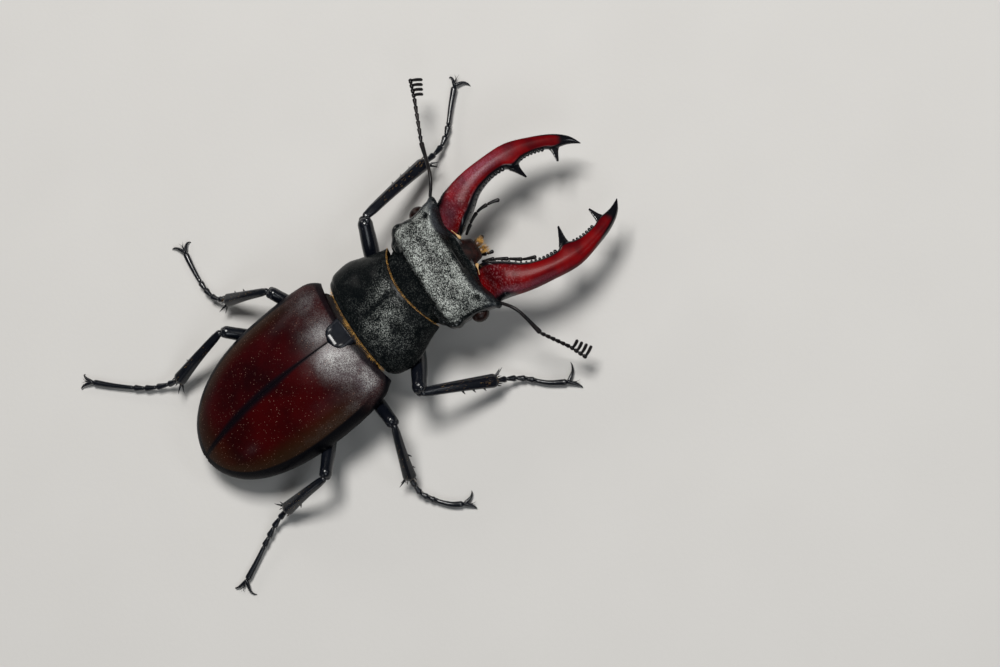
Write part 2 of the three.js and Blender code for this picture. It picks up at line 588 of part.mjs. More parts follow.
function legPieces(name, { side, kind, knee, ankle, foot, claws }) {
  const sizes = LEG_KINDS[kind];
  const coxaEnds = sizes.coxa.map((end) => mirroredX(end, side));
  const root = mirroredX(sizes.root, side);
  const femurShape = (place) => {
    const swelling = Math.sin(Math.min(place / FEMUR.straight, 1) * FEMUR.turn);
    const half = sizes.femur * (FEMUR.root + FEMUR.swell * swelling);
    return [half, half * FEMUR.depth];
  };
  const tibiaShape = (place) => {
    const half = sizes.tibia + (sizes.flare - sizes.tibia) * place ** 2;
    return [half, half * TIBIA.depth];
  };
  const coxaRod = (grow) => (
    rod(coxaEnds, () => [sizes.coxaRadius, sizes.coxaRadius], { count: 4, sides: 8, grow })
  );
  const femurRod = (grow) => rod([root, knee], femurShape, { count: 6, sides: 8, grow });

  const kneePoint = vector(knee);
  const anklePoint = vector(ankle);
  const shin = anklePoint.clone().sub(kneePoint);
  const down = shin.clone().normalize();
  const shinBow = kneePoint.clone().addScaledVector(shin, 0.5).addScaledVector(UP, TIBIA.bow).toArray();
  const tibiaRod = (grow) => rod([knee, shinBow, ankle], tibiaShape, { count: 6, sides: 6, grow });

  // Small thorns stand on the outer edge of the shin and two spurs at its end.
  const outward = UP.clone().cross(down).normalize().multiplyScalar(kind === 'front' ? side : -side);
  const thorns = Array.from({ length: sizes.spines }, (_, index) => {
    const share = SPINE.first + (SPINE.stretch * (index + 0.5)) / sizes.spines;
    const base = kneePoint.clone().addScaledVector(shin, share).addScaledVector(outward, sizes.tibia / 2);
    const lean = outward.clone().addScaledVector(down, SPINE.lean);
    const tip = base.clone().addScaledVector(lean, SPINE.length);
    return spike(base, tip, SPINE.radius);
  });
  const spurs = [-1, 1].map((hand) => {
    const base = anklePoint.clone().addScaledVector(down, -SPUR.sunk);
    base.addScaledVector(outward, -SPUR.inset * sizes.flare);
    const aim = down.clone().addScaledVector(outward, SPUR.fan * hand - SPUR.turn);
    aim.addScaledVector(UP, hand * SPUR.spread).setLength(SPUR.length);
    return spike(base, base.clone().add(aim), SPUR.radius);
  });

  const footPoints = [anklePoint.clone().addScaledVector(down, -FOOT.sunk).toArray(), ...foot];
  const footCurve = new THREE.CatmullRomCurve3(footPoints.map(vector), false, 'centripetal');
  const footRings = [[0, 0, 0]];
  FOOT.joints.slice(0, -1).forEach((start, index) => {
    const end = FOOT.joints[index + 1];
    footRings.push([start + FOOT.pinch, FOOT.narrow, FOOT.narrow]);
    footRings.push([end - FOOT.pinch, FOOT.wide, FOOT.wide * FOOT.depth]);
  });
  footRings.push([1, 0, 0]);
  const footRod = (grow) => drawn(footCurve, footRings, 5, grow);

  const toe = footCurve.getPointAt(1);
  const ahead = footCurve.getTangentAt(1).setZ(0).normalize();
  const heel = toe.clone().addScaledVector(ahead, CLAW.reach);
  const clawPair = claws.map((tip) => {
    const end = new THREE.Vector3(tip[0], tip[1], CLAW.tipZ);
    const middle = heel.clone().lerp(end, 0.5).addScaledVector(ahead, CLAW.bow).setZ(CLAW.lift);
    const curve = new THREE.CatmullRomCurve3([heel, middle, end]);
    const rings = CLAW_RINGS.map((ring) => [ring[0], ring[1] * CLAW.radius, ring[2] * CLAW.radius]);
    return drawn(curve, rings, 5);
  });
  const heelBall = ellipsoid(heel.toArray(), CLAW.heel, 5, 3);
  const clawSolid = joined([heelBall, ...clawPair]).subtract(BELOW_FLOOR);
  const tibiaSolid = joined([tibiaRod(0), ...thorns, ...spurs]).subtract(footRod(GAP));

  return {
    cutters: { coxa: coxaRod(GAP), femur: femurRod(GAP) },
    nodes: {
      [`coxa_${name}`]: { solid: coxaRod(0).subtract(femurRod(GAP)), at: coxaEnds[0] },
      [`femur_${name}`]: { solid: femurRod(0).subtract(tibiaRod(GAP)), at: root },
      [`tibia_${name}`]: { solid: tibiaSolid, at: knee },
      [`tarsus_${name}`]: { solid: footRod(0), at: ankle },
      [`claws_${name}`]: { solid: clawSolid, at: heel.setZ(0).toArray() },
    },
  };
}

// ---------------------------------------------------------------- assembly

const beetle = new THREE.Group();
beetle.name = 'stag_beetle';
beetle.position.copy(ORIGIN_SHIFT);

/** Adds a piece as a named mesh, placed at its own root. */
function place(name, solid, material, at) {
  const { vertProperties, triVerts } = solid.getMesh();
  const geometry = new THREE.BufferGeometry();
  geometry.setAttribute('position', new THREE.BufferAttribute(new Float32Array(vertProperties), 3));
  geometry.setIndex(new THREE.BufferAttribute(new Uint32Array(triVerts), 1));
  geometry.translate(-at[0], -at[1], -at[2]);
  geometry.computeVertexNormals();
  const mesh = new THREE.Mesh(geometry, material);
  mesh.name = name;
  mesh.position.set(...at);
  beetle.add(mesh);
}

const SIDES = [['left', 1], ['right', -1]];
const legs = Object.entries(LEGS).map(([name, leg]) => ({ kind: leg.kind, ...legPieces(name, leg) }));
const legCutters = (kinds) => legs
  .filter((leg) => kinds.includes(leg.kind))
  .flatMap(({ cutters }) => [cutters.coxa, cutters.femur]);

// Head: its sockets are cut by what they hold.
const antennaPoints = Object.fromEntries(Object.entries(ANTENNAE).map(([side, joints]) => (
  [side, [joints.base, joints.bend, joints.elbow]]
)));
const jawClearance = SIDES.map(([name, side]) => jawSet(name, side, jawBody(side, GAP)));
const headCutters = [
  ...jawClearance,
  ...SIDES.map(([, side]) => inHead(eye(side, GAP))),
  ...Object.values(antennaPoints).map((points) => scapeRod(points, GAP)),
  inHead(labrum(GAP)),
];
place('head', without(inHead(skull()), headCutters), FINISH.granular(), [0, -16, 11]);
place('labrum', without(inHead(labrum()), jawClearance), FINISH.lip(), [0, -22, 11]);
SIDES.forEach(([name, side]) => {
  place(`eye_${name}`, inHead(eye(side)), FINISH.eye(), onHead(EYE.place, side));
  place(`mandible_${name}`, jawSet(name, side, jaw(side)), FINISH.jaw(), onHead(JAW[0], side));

  const joints = ANTENNAE[name];
  const [elbow, wrist, tip] = [joints.elbow, joints.wrist, joints.tip].map(vector);
  const forearm = wrist.clone().sub(elbow).normalize();
  const hand = tip.clone().sub(wrist).normalize();
  const funicleStart = elbow.clone().addScaledVector(forearm, GAP);
  const clubStart = wrist.clone().addScaledVector(hand, GAP);
  place(`antenna_scape_${name}`, scapeRod(antennaPoints[name]), FINISH.leg(), joints.base);
  place(`antenna_funicle_${name}`, funicle(funicleStart, wrist), FINISH.leg(), joints.elbow);
  place(`antenna_club_${name}`, club(clubStart, tip, vector(joints.leaf)), FINISH.leg(), joints.wrist);
});
Object.entries(PALPS).forEach(([name, points]) => place(name, palp(points), FINISH.leg(), points[0]));

// Pronotum: hollow for the neck in front and for the waist behind.
const pronotumCutters = [inHead(skull(GAP)), collar(WAIST, GAP), ...legCutters(['front'])];
place('pronotum', without(prothorax(), pronotumCutters), FINISH.granular(), [0, -5, 10]);

// Trunk under the wing cases.
const trunkCutters = legCutters(['middle', 'hind']);
place('thorax', without(joined([thorax(), collar(WAIST)]), trunkCutters), FINISH.belly(), [0, 5, 8]);
place('abdomen', without(inAbdomen(abdomen()), legCutters(['hind'])), FINISH.belly(), [0, 20, 8]);
place('scutellum', inAbdomen(scutellum()), FINISH.shield(), [0, 2, 14]);
SIDES.forEach(([name, side]) => {
  const wing = inAbdomen(elytron(side).subtract(scutellum(GAP)));
  place(`elytron_${name}`, wing, FINISH.wing(), [side * 2, 2, 13]);
});

legs.forEach(({ nodes }) => {
  Object.entries(nodes).forEach(([name, { solid, at }]) => place(name, solid, FINISH.leg(), at));
});

export default beetle;
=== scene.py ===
"""A male stag beetle at life size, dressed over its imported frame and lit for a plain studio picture.

Shapes are worked out in millimetres from the waist: the head faces -Y, the beetle's left is +X and +Z is up.
Bench.add moves each finished piece to the frame's origin and to metres.
"""

import logging
import math
from bisect import bisect_right
from dataclasses import dataclass, field
from enum import Enum
from typing import Callable, Sequence

import bmesh
import bpy
import numpy as np
from mathutils import Matrix, Vector, noise

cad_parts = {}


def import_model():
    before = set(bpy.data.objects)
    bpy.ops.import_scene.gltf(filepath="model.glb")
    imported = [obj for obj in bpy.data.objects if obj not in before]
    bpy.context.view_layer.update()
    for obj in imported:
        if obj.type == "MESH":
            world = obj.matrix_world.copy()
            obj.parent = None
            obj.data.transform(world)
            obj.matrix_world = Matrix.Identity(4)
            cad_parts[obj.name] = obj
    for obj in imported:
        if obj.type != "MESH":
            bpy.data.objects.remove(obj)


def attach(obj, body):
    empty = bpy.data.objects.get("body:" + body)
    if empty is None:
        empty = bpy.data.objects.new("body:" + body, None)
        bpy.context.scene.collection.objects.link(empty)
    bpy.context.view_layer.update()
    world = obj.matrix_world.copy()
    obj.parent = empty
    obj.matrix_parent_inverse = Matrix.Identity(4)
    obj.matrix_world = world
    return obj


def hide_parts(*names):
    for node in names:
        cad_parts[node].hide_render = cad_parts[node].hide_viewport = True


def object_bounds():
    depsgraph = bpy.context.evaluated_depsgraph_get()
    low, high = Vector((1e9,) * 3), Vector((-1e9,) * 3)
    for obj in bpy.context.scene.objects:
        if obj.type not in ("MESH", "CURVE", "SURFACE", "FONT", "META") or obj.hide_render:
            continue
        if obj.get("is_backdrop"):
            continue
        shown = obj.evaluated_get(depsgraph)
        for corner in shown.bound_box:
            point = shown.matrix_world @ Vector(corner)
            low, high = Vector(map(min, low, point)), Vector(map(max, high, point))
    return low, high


LOG = logging.getLogger("stag_beetle")

MM = 0.001
WAIST = Vector((-0.23, 0.465, 0.0))  # the waist's place in the frame, in millimetres
UP = Vector((0.0, 0.0, 1.0))
SIDES = (("left", 1.0), ("right", -1.0))
HEAD_TURN = (math.radians(-1.5), Vector((0.0, -10.0, 0.0)))
ABDOMEN_TURN = (math.radians(2.5), Vector((0.0, 1.0, 0.0)))

Row = tuple[float, float]
Point = tuple[float, float, float]
Colour = tuple[float, float, float, float]
Ends = tuple[float, float, float, float]
Ridge = Point  # a height, a distance and a reach
Knob = tuple[float, float, float, float]  # a height, a middle's x and y, and a reach
Place = Callable[[float, float], Vector]
Body = bmesh.types.BMesh


# ---------------------------------------------------------------- numbers


def clamp(value: float, low: float = 0.0, high: float = 1.0) -> float:
    """Keeps a value between two limits."""
    return max(low, min(high, value))


def blend(low: float, high: float, share: float) -> float:
    """Goes from low to high as share goes from 0 to 1."""
    return low + (high - low) * share


def ease(start: float, end: float, value: float) -> float:
    """Rises smoothly from 0 at start to 1 at end."""
    share = clamp((value - start) / (end - start))
    return share * share * (3.0 - 2.0 * share)


def fade(start: float, end: float, value: float) -> float:
    """Falls smoothly from 1 at start to 0 at end."""
    return 1.0 - ease(start, end, value)


def span(value: float, ends: Ends) -> float:
    """1 between the middle two of four places, and 0 outside the outer two."""
    return ease(ends[0], ends[1], value) * fade(ends[2], ends[3], value)


def bell(distance: float, reach: float) -> float:
    """A bump of height 1 that fades over reach."""
    return math.exp(-((distance / reach) ** 2))


def ridges(distance: float, rows: Sequence[Ridge]) -> float:
    """The height of long beads and grooves at a distance from an edge."""
    return sum(height * bell(distance - at, reach) for height, at, reach in rows)


def knobs(x: float, y: float, rows: Sequence[Knob]) -> float:
    """The height of round knobs and dents."""
    return sum(height * bell(math.hypot(x - at_x, y - at_y), reach) for height, at_x, at_y, reach in rows)


def dome(share: float) -> float:
    """Rises from 0 to 1 as a quarter circle does."""
    return math.sqrt(max(1.0 - (1.0 - clamp(share)) ** 2, 0.0))


def arch(share: float, roundness: float, power: float) -> float:
    """Height of a rounded section at a share of its half width."""
    return max(1.0 - abs(share) ** roundness, 0.0) ** power


def gathered(share: float, amount: float) -> float:
    """Moves evenly spaced shares closer together towards both ends."""
    return blend(share, (1.0 - math.cos(math.pi * share)) / 2.0, amount)


def capped(way: float, cap: float) -> Row:
    """How far a way from pole to pole has come along the length between two end caps, and into a cap."""
    return clamp((way - cap) / (1.0 - 2.0 * cap)), clamp(1.0 - way / cap) + clamp(1.0 - (1.0 - way) / cap)


def mirrored(point: Point, side: float) -> Vector:
    """A point of the left side, or its mirror image on the right."""
    return Vector((point[0] * side, point[1], point[2]))


class Track:
    """A smooth function through rows of (place, value)."""

    def __init__(self, rows: Sequence[Row]) -> None:
        """Works out the slope at each row.

        Args:
            rows: Places in rising order, each with its value.
        """
        self.places = [row[0] for row in rows]
        self.values = [row[1] for row in rows]
        last = len(rows) - 1
        self.slopes = [self._slope(max(index - 1, 0), min(index + 1, last)) for index in range(last + 1)]

    def _slope(self, before: int, after: int) -> float:
        """The slope of the line between two rows."""
        return (self.values[after] - self.values[before]) / (self.places[after] - self.places[before])

    def __call__(self, place: float) -> float:
        """The value at a place, held level beyond the ends."""
        place = clamp(place, self.places[0], self.places[-1])
        index = min(bisect_right(self.places, place), len(self.places) - 1) - 1
        span = self.places[index + 1] - self.places[index]
        share = (place - self.places[index]) / span
        low, high = self.values[index], self.values[index + 1]
        rise, run = self.slopes[index] * span, self.slopes[index + 1] * span
        curve = 3.0 * (high - low) - 2.0 * rise - run
        return low + share * (rise + share * (curve + share * (2.0 * (low - high) + rise + run)))


def track(*rows: Row) -> Track:
    """A dataclass field that holds a track through rows."""
    return field(default_factory=lambda: Track(rows))


class Path:
    """A smooth line through points, measured along its length."""

    STEPS = 24

    def __init__(self, points: Sequence[Sequence[float]]) -> None:
        """Traces a centripetal spline through the points.

        Args:
            points: At least two points in millimetres.
        """
        knots = [Vector(point) for point in points]
        knots = [2.0 * knots[0] - knots[1], *knots, 2.0 * knots[-1] - knots[-2]]
        self.trace = [knots[1]]
        for index in range(1, len(knots) - 2):
            self.trace += self._stretch(*knots[index - 1 : index + 3])
        self.reach = [0.0]
        for start, end in zip(self.trace, self.trace[1:]):
            self.reach.append(self.reach[-1] + (end - start).length)
        self.length = self.reach[-1]

    def _stretch(self, before: Vector, start: Vector, end: Vector, after: Vector) -> list[Vector]:
        """Points of the spline between two knots, given the knots around them."""
        gaps = [max((b - a).length, 1e-6) ** 0.5 for a, b in ((before, start), (start, end), (end, after))]
        leave = (start - before) / gaps[0] - (end - before) / (gaps[0] + gaps[1]) + (end - start) / gaps[1]
        arrive = (end - start) / gaps[1] - (after - start) / (gaps[1] + gaps[2]) + (after - end) / gaps[2]
        leave, arrive = leave * gaps[1], arrive * gaps[1]
        points = []
        for step in range(1, self.STEPS + 1):
            share = step / self.STEPS
            curve = 3.0 * (end - start) - 2.0 * leave - arrive
            twist = 2.0 * (start - end) + leave + arrive
            points.append(start + share * (leave + share * (curve + share * twist)))
        return points

    def at(self, share: float) -> Vector:
        """The point at a share of the length."""
        goal = clamp(share) * self.length
        index = min(bisect_right(self.reach, goal), len(self.reach) - 1) - 1
        span = max(self.reach[index + 1] - self.reach[index], 1e-9)
        return self.trace[index].lerp(self.trace[index + 1], (goal - self.reach[index]) / span)

    def frame(self, share: float) -> tuple[Vector, Vector, Vector, Vector]:
        """The point at a share of the length, and the directions along, across and over the line there."""
        nudge = 0.004
        along = (self.at(share + nudge) - self.at(share - nudge)).normalized()
        across = UP.cross(along).normalized()
        return self.at(share), along, across, along.cross(across)


# ---------------------------------------------------------------- meshes


def ball(rings: int, sides: int, place: Place) -> Body:
    """A closed body from a sphere whose vertices are moved ring by ring.

    Args:
        rings: Steps from one pole to the other.
        sides: Steps around.
        place: Gives a vertex's place from its share of the way and its angle.

    Returns:
        The body's mesh.
    """
    body = bmesh.new()
    bmesh.ops.create_uvsphere(body, u_segments=sides, v_segments=rings, radius=1.0)
    for vertex in body.verts:
        ring = round(math.acos(clamp(vertex.co.z, -1.0, 1.0)) / math.pi * rings)
        vertex.co = place(ring / rings, math.atan2(vertex.co.y, vertex.co.x))
    return body


def sheet(across: int, along: int, place: Place, thickness: float) -> Body:
    """A plate from a grid whose vertices are moved to a surface, and then given a wall.

    Args:
        across: Steps in the first direction.
        along: Steps in the second direction.
        place: Gives a vertex's place from its two shares of the way.
        thickness: The wall's thickness.

    Returns:
        The plate's mesh.
    """
    plate = bmesh.new()
    bmesh.ops.create_grid(plate, x_segments=across, y_segments=along, size=1.0)
    for vertex in plate.verts:
        vertex.co = place((vertex.co.x + 1.0) / 2.0, (vertex.co.y + 1.0) / 2.0)
    bmesh.ops.recalc_face_normals(plate, faces=plate.faces)
    if sum(face.normal.z for face in plate.faces) < 0.0:
        bmesh.ops.reverse_faces(plate, faces=plate.faces)
    bmesh.ops.solidify(plate, geom=plate.faces[:], thickness=thickness)
    return plate


def swept(
    path: Path,
    size: Callable[[float], Row],
    rings: int = 28,
    sides: int = 18,
    section: Callable[[float, float], float] | None = None,
    gather: float = 0.6,
) -> Body:
    """A body with round ends drawn along a path.

    Args:
        path: The middle line.
        size: Gives the half width and half depth at a share of the way.
        rings: Steps along the path.
        sides: Steps around it.
        section: Scales the radius by angle and by share of the way.
        gather: How much closer the rings are towards the ends.

    Returns:
        The body's mesh.
    """
    frames = {}
    for ring in range(rings + 1):
        share = gathered(ring / rings, gather)
        width, depth = size(share)
        from_end = min(share, 1.0 - share) * path.length
        cap = dome(from_end / max(width, 1e-6))
        frames[ring] = (share, width * cap, depth * cap, *path.frame(share))

    def place(way: float, angle: float) -> Vector:
        """A vertex on the ring at that share of the way."""
        share, width, depth, centre, _, across, over = frames[round(way * rings)]
        scale = section(angle, share) if section else 1.0
        return centre + across * (math.cos(angle) * width * scale) + over * (math.sin(angle) * depth * scale)

    return ball(rings, sides, place)


def spike(base: Vector, tip: Vector, radius: float, bend: Vector | None = None) -> Body:
    """A tapering thorn from its base to its tip, bowed sideways by bend."""
    middle = base.lerp(tip, 0.5) + (bend or Vector())
    path = Path([base, middle, tip])
    return swept(path, lambda share: (radius * (1.02 - share) ** 0.8,) * 2, rings=12, sides=10, gather=0.3)


def lobe(place: Vector, half: Sequence[float], rings: int = 14, sides: int = 20) -> Body:
    """A rounded knob."""
    body = bmesh.new()
    bmesh.ops.create_uvsphere(body, u_segments=sides, v_segments=rings, radius=1.0)
    bmesh.ops.scale(body, vec=Vector(half), verts=body.verts)
    bmesh.ops.translate(body, vec=place, verts=body.verts)
    return body


def joined(parts: Sequence[Body]) -> Body:
    """Puts several meshes into the first one."""
    whole = parts[0]
    for part in parts[1:]:
        store = stored("part", part)
        whole.from_mesh(store)
        bpy.data.meshes.remove(store)
    return whole


def turned(body: Body, turn: tuple[float, Vector]) -> Body:
    """Turns a mesh about an upright line."""
    angle, pivot = turn
    bmesh.ops.rotate(body, cent=pivot, matrix=Matrix.Rotation(angle, 3, "Z"), verts=body.verts)
    return body


def swollen(body: Body, depth: Callable[[Vector, Vector], float]) -> Body:
    """Moves each vertex along its normal by a depth worked out from its place and normal."""
    body.normal_update()
    moves = [(vertex, vertex.normal * depth(vertex.co, vertex.normal)) for vertex in body.verts]
    for vertex, move in moves:
        vertex.co += move
    return body


def marked(body: Body, **marks: Callable[[Vector], float]) -> Body:
    """Stores values on each vertex, for the finishes to read."""
    for name, value in marks.items():
        layer = body.verts.layers.float.new(name)
        for vertex in body.verts:
            vertex[layer] = value(vertex.co)
    return body


def stood(name: str, data: bpy.types.ID) -> bpy.types.Object:
    """Puts a mesh, a light or a camera into the scene as an object."""
    thing = bpy.data.objects.new(name, data)
    bpy.context.scene.collection.objects.link(thing)
    return thing


def stored(name: str, body: Body) -> bpy.types.Mesh:
    """Turns a worked mesh into a stored one."""
    mesh = bpy.data.meshes.new(name)
    body.to_mesh(mesh)
    body.free()
    return mesh


# ---------------------------------------------------------------- shader arithmetic


class Field:
    """A shader socket that takes part in Python arithmetic."""

    def __init__(self, graph: "Graph", socket: bpy.types.NodeSocket) -> None:
        """Wraps a socket of a graph."""
        self.graph = graph
        self.socket = socket

    def __add__(self, other: "Value") -> "Field":
        """Adds a value."""
        return self.graph.math("ADD", self, other)

    def __radd__(self, other: "Value") -> "Field":
        """Is added to a value."""
        return self.graph.math("ADD", other, self)

    def __sub__(self, other: "Value") -> "Field":
        """Takes a value away."""
        return self.graph.math("SUBTRACT", self, other)

    def __rsub__(self, other: "Value") -> "Field":
        """Is taken away from a value."""
        return self.graph.math("SUBTRACT", other, self)

    def __mul__(self, other: "Value") -> "Field":
        """Multiplies by a value."""
        return self.graph.math("MULTIPLY", self, other)

    def __rmul__(self, other: "Value") -> "Field":
        """Multiplies a value."""
        return self.graph.math("MULTIPLY", other, self)


Value = float | Field
Paint = Colour | Field


class Graph:
    """One material's nodes."""

    def __init__(self, name: str) -> None:
        """Starts an empty material of that name."""
        self.material = bpy.data.materials.new(name)
        self.material.use_nodes = True
        self.tree = self.material.node_tree
        self.tree.nodes.clear()
        self.place = self.node("ShaderNodeTexCoord", output="Object")

    def node(
        self, kind: str, settings: dict | None = None, values: dict | None = None, output: int | str = 0
    ) -> Field:
        """Adds a node.

        Args:
            kind: The node's type.
            settings: Properties set first.
            values: Numbers, colours or fields for its sockets, by name or number.
            output: The socket to hand back.

        Returns:
            The chosen output.
        """
        node = self.tree.nodes.new(kind)
        for key, setting in (settings or {}).items():
            setattr(node, key, setting)
        for key, value in (values or {}).items():
            if isinstance(value, Field):
                self.tree.links.new(value.socket, node.inputs[key])
            else:
                node.inputs[key].default_value = value
        return Field(self, node.outputs[output])

    def math(self, operation: str, *values: Value) -> Field:
        """Adds a Math node for one operation on its values."""
        return self.node("ShaderNodeMath", {"operation": operation}, dict(enumerate(values)))

    def step(self, value: Value, start: float, end: float) -> Field:
        """Rises smoothly from 0 at start to 1 at end."""
        ends = {"Value": value, "From Min": start, "From Max": end}
        return self.node("ShaderNodeMapRange", {"interpolation_type": "SMOOTHSTEP"}, ends)

    def mix(self, share: Value, low: Paint, high: Paint) -> Field:
        """Mixes two colours."""
        return self.node("ShaderNodeMix", {"data_type": "RGBA"}, {0: share, 6: low, 7: high}, output=2)

    def noise(self, size: float, detail: float = 2.0, roughness: float = 0.5) -> Field:
        """Cloudy noise with features of a size in metres."""
        values = {"Vector": self.place, "Scale": 1.0 / size, "Detail": detail, "Roughness": roughness}
        return self.node("ShaderNodeTexNoise", None, values, output="Fac")

    def cells(self, size: float, output: str = "Distance") -> Field:
        """Distance to the nearest of points scattered at a spacing in metres, or that point's own colour."""
        values = {"Vector": self.place, "Scale": 1.0 / size}
        return self.node("ShaderNodeTexVoronoi", None, values, output=output)

    def chance(self, size: float) -> Field:
        """A different number from 0 to 1 in each cell of a size in metres."""
        return self.node("ShaderNodeSeparateColor", None, {"Color": self.cells(size, "Color")})

    def mark(self, name: str) -> Field:
        """A value stored on the piece's vertices."""
        return self.node("ShaderNodeAttribute", {"attribute_name": name}, output="Fac")

    def bump(self, height: Value, distance: float) -> Field:
        """Relief of a height field, with a depth in metres."""
        return self.node("ShaderNodeBump", None, {"Distance": distance, "Height": height})

    def surface(self, **values: Value | Paint) -> bpy.types.Material:
        """Ends the material in a Principled shader.

        Args:
            values: The shader's sockets, with underscores for spaces.

        Returns:
            The material.
        """
        sockets = {key.replace("_", " "): value for key, value in values.items()}
        shader = self.node("ShaderNodeBsdfPrincipled", None, sockets)
        output = self.tree.nodes.new("ShaderNodeOutputMaterial")
        self.tree.links.new(shader.socket, output.inputs["Surface"])
        return self.material


# ---------------------------------------------------------------- finishes


class Slot(Enum):
    """The record's material slots."""

    GRANULAR = "granular_shell"
    WING = "wing_shell"
    JAW = "jaw_shell"
    BELLY = "belly_shell"
    EYE = "eye"
    LABRUM = "labrum"
    SCUTELLUM = "scutellum"
    LIMB = "limb_shell"
    FEELER = "feeler_shell"
    SETAE = "setae"


def tint(red: float, green: float, blue: float) -> Colour:
    """An opaque colour."""
    return (red, green, blue, 1.0)


@dataclass(frozen=True)
class GranularFinish:
    """Black chitin with dense fine granules.

    The marks say where the granules lie close and carry a pale painted sheen of glints, where the shell is
    polished, and where a smooth blue-grey painted reflection lies.
    """

    black: Colour = tint(0.0025, 0.0035, 0.004)
    # pale colour of the painted glints and sheen on the granules
    grey: Colour = tint(0.66, 0.70, 0.66)
    # colour of the smooth blue-grey painted reflection
    slate: Colour = tint(0.056, 0.064, 0.074)
    grain: float = 0.00012
    relief: float = 0.000026

    def material(self, name: str) -> bpy.types.Material:
        """Builds the material."""
        graph = Graph(name)
        grain = graph.mark("grain")
        chance = graph.chance(self.grain)
        dome = 1.0 - graph.cells(self.grain)
        cloud = graph.step(graph.noise(0.0016, 4.0, 0.65), 0.3, 0.7)
        even = chance * (1.0 - grain * 0.4) + grain * 0.2
        # painted glints: pale specks on the granules' tops, thickest where the grain mark lays its painted
        # sheen
        glint_speck = graph.step(even + cloud * 0.34 + grain * 0.35, 0.69, 1.63)
        gloss = graph.mark("gloss")
        spot = glint_speck * (0.28 + graph.step(dome, 0.2, 0.6) * 0.7)
        granular = graph.mix(spot * (0.05 + grain * 0.95), self.black, self.grey)
        # paints the blue-grey reflection over the granules where its mark lies
        colour = graph.mix(graph.mark("slate") * (0.35 + chance * 0.65), granular, self.slate)
        height = dome * (0.35 + grain * 0.65) + graph.noise(0.00012) * 0.15
        return graph.surface(
            Base_Color=colour,
            Roughness=0.16 + grain * 0.2 + graph.noise(0.0004) * 0.1,
            Normal=graph.bump(height * (1.0 - gloss), self.relief),
            Specular_IOR_Level=0.05,
            Coat_Weight=gloss * 0.9,
            Coat_Roughness=0.08,
        )


@dataclass(frozen=True)
class WingFinish:
    """Dark maroon chitin, partly with painted light: its marks say where it is black or darker (in part
    painted shade), where a brown painted glancing sheen lies and where a silvery painted sheen lies;
    punctures carry painted glints.
    """

    core: Colour = tint(0.034, 0.0010, 0.0014)
    deep: Colour = tint(0.010, 0.0007, 0.0012)
    # brown colour of the painted glancing sheen along the margins and tail
    olive: Colour = tint(0.024, 0.011, 0.004)
    # pale colour of the painted silvery sheen
    milky: Colour = tint(0.44, 0.44, 0.43)
    # purple edge of the painted sheen where it fades
    purple_sheen: Colour = tint(0.024, 0.008, 0.013)
    black: Colour = tint(0.0025, 0.0025, 0.004)
    # colour of the painted glints in the punctures
    dot: Colour = tint(0.55, 0.32, 0.24)
    puncture: float = 0.00027

    def material(self, name: str) -> bpy.types.Material:
        """Builds the material."""
        graph = Graph(name)
        cloud = graph.noise(0.006, 5.0)
        red = graph.mix(graph.step(cloud, 0.25, 0.75), self.deep, self.core)
        # paints the brown glancing sheen
        brown = graph.mix(graph.mark("olive") * 0.85, red, self.olive)
        fleck = graph.step(graph.noise(0.00017, 3.0, 0.8), 0.42, 0.60)
        patch = graph.step(graph.noise(0.0016, 4.0, 0.6), 0.3, 0.68)
        # painted silvery sheen, grainy and patchy, with a purple edge
        painted_bloom = graph.mark("milky") * (0.16 + fleck * 0.9) * (0.36 + patch * 0.64)
        purple_sheen = graph.mix(graph.step(graph.mark("milky"), 0.05, 0.5), brown, self.purple_sheen)
        sheen_painted = graph.mix(painted_bloom * 0.9, purple_sheen, self.milky)
        # painted glints: some punctures light up as small pale dots
        pit = 1.0 - graph.step(graph.cells(self.puncture), 0.10, 0.30)
        glint = pit * graph.step(graph.chance(self.puncture), 0.64, 0.96)
        glinted = graph.mix(glint * 0.36, sheen_painted, self.dot)
        colour = graph.mix(graph.mark("dark"), glinted, self.black)
        height = graph.noise(0.0003, 3.0) * 0.5 - pit * 0.8
        return graph.surface(
            Base_Color=colour,
            Roughness=0.24 + graph.noise(0.0006, 3.0) * 0.12 + graph.mark("milky") * 0.08,
            Normal=graph.bump(height, 0.00002),
            Specular_IOR_Level=0.018,
            Coat_Weight=(
                (1.0 - graph.mark("dark")) * 0.035 + graph.step(graph.mark("milky"), 0.15, 0.6) * 0.13
            ),
            Coat_Roughness=0.2,
        )


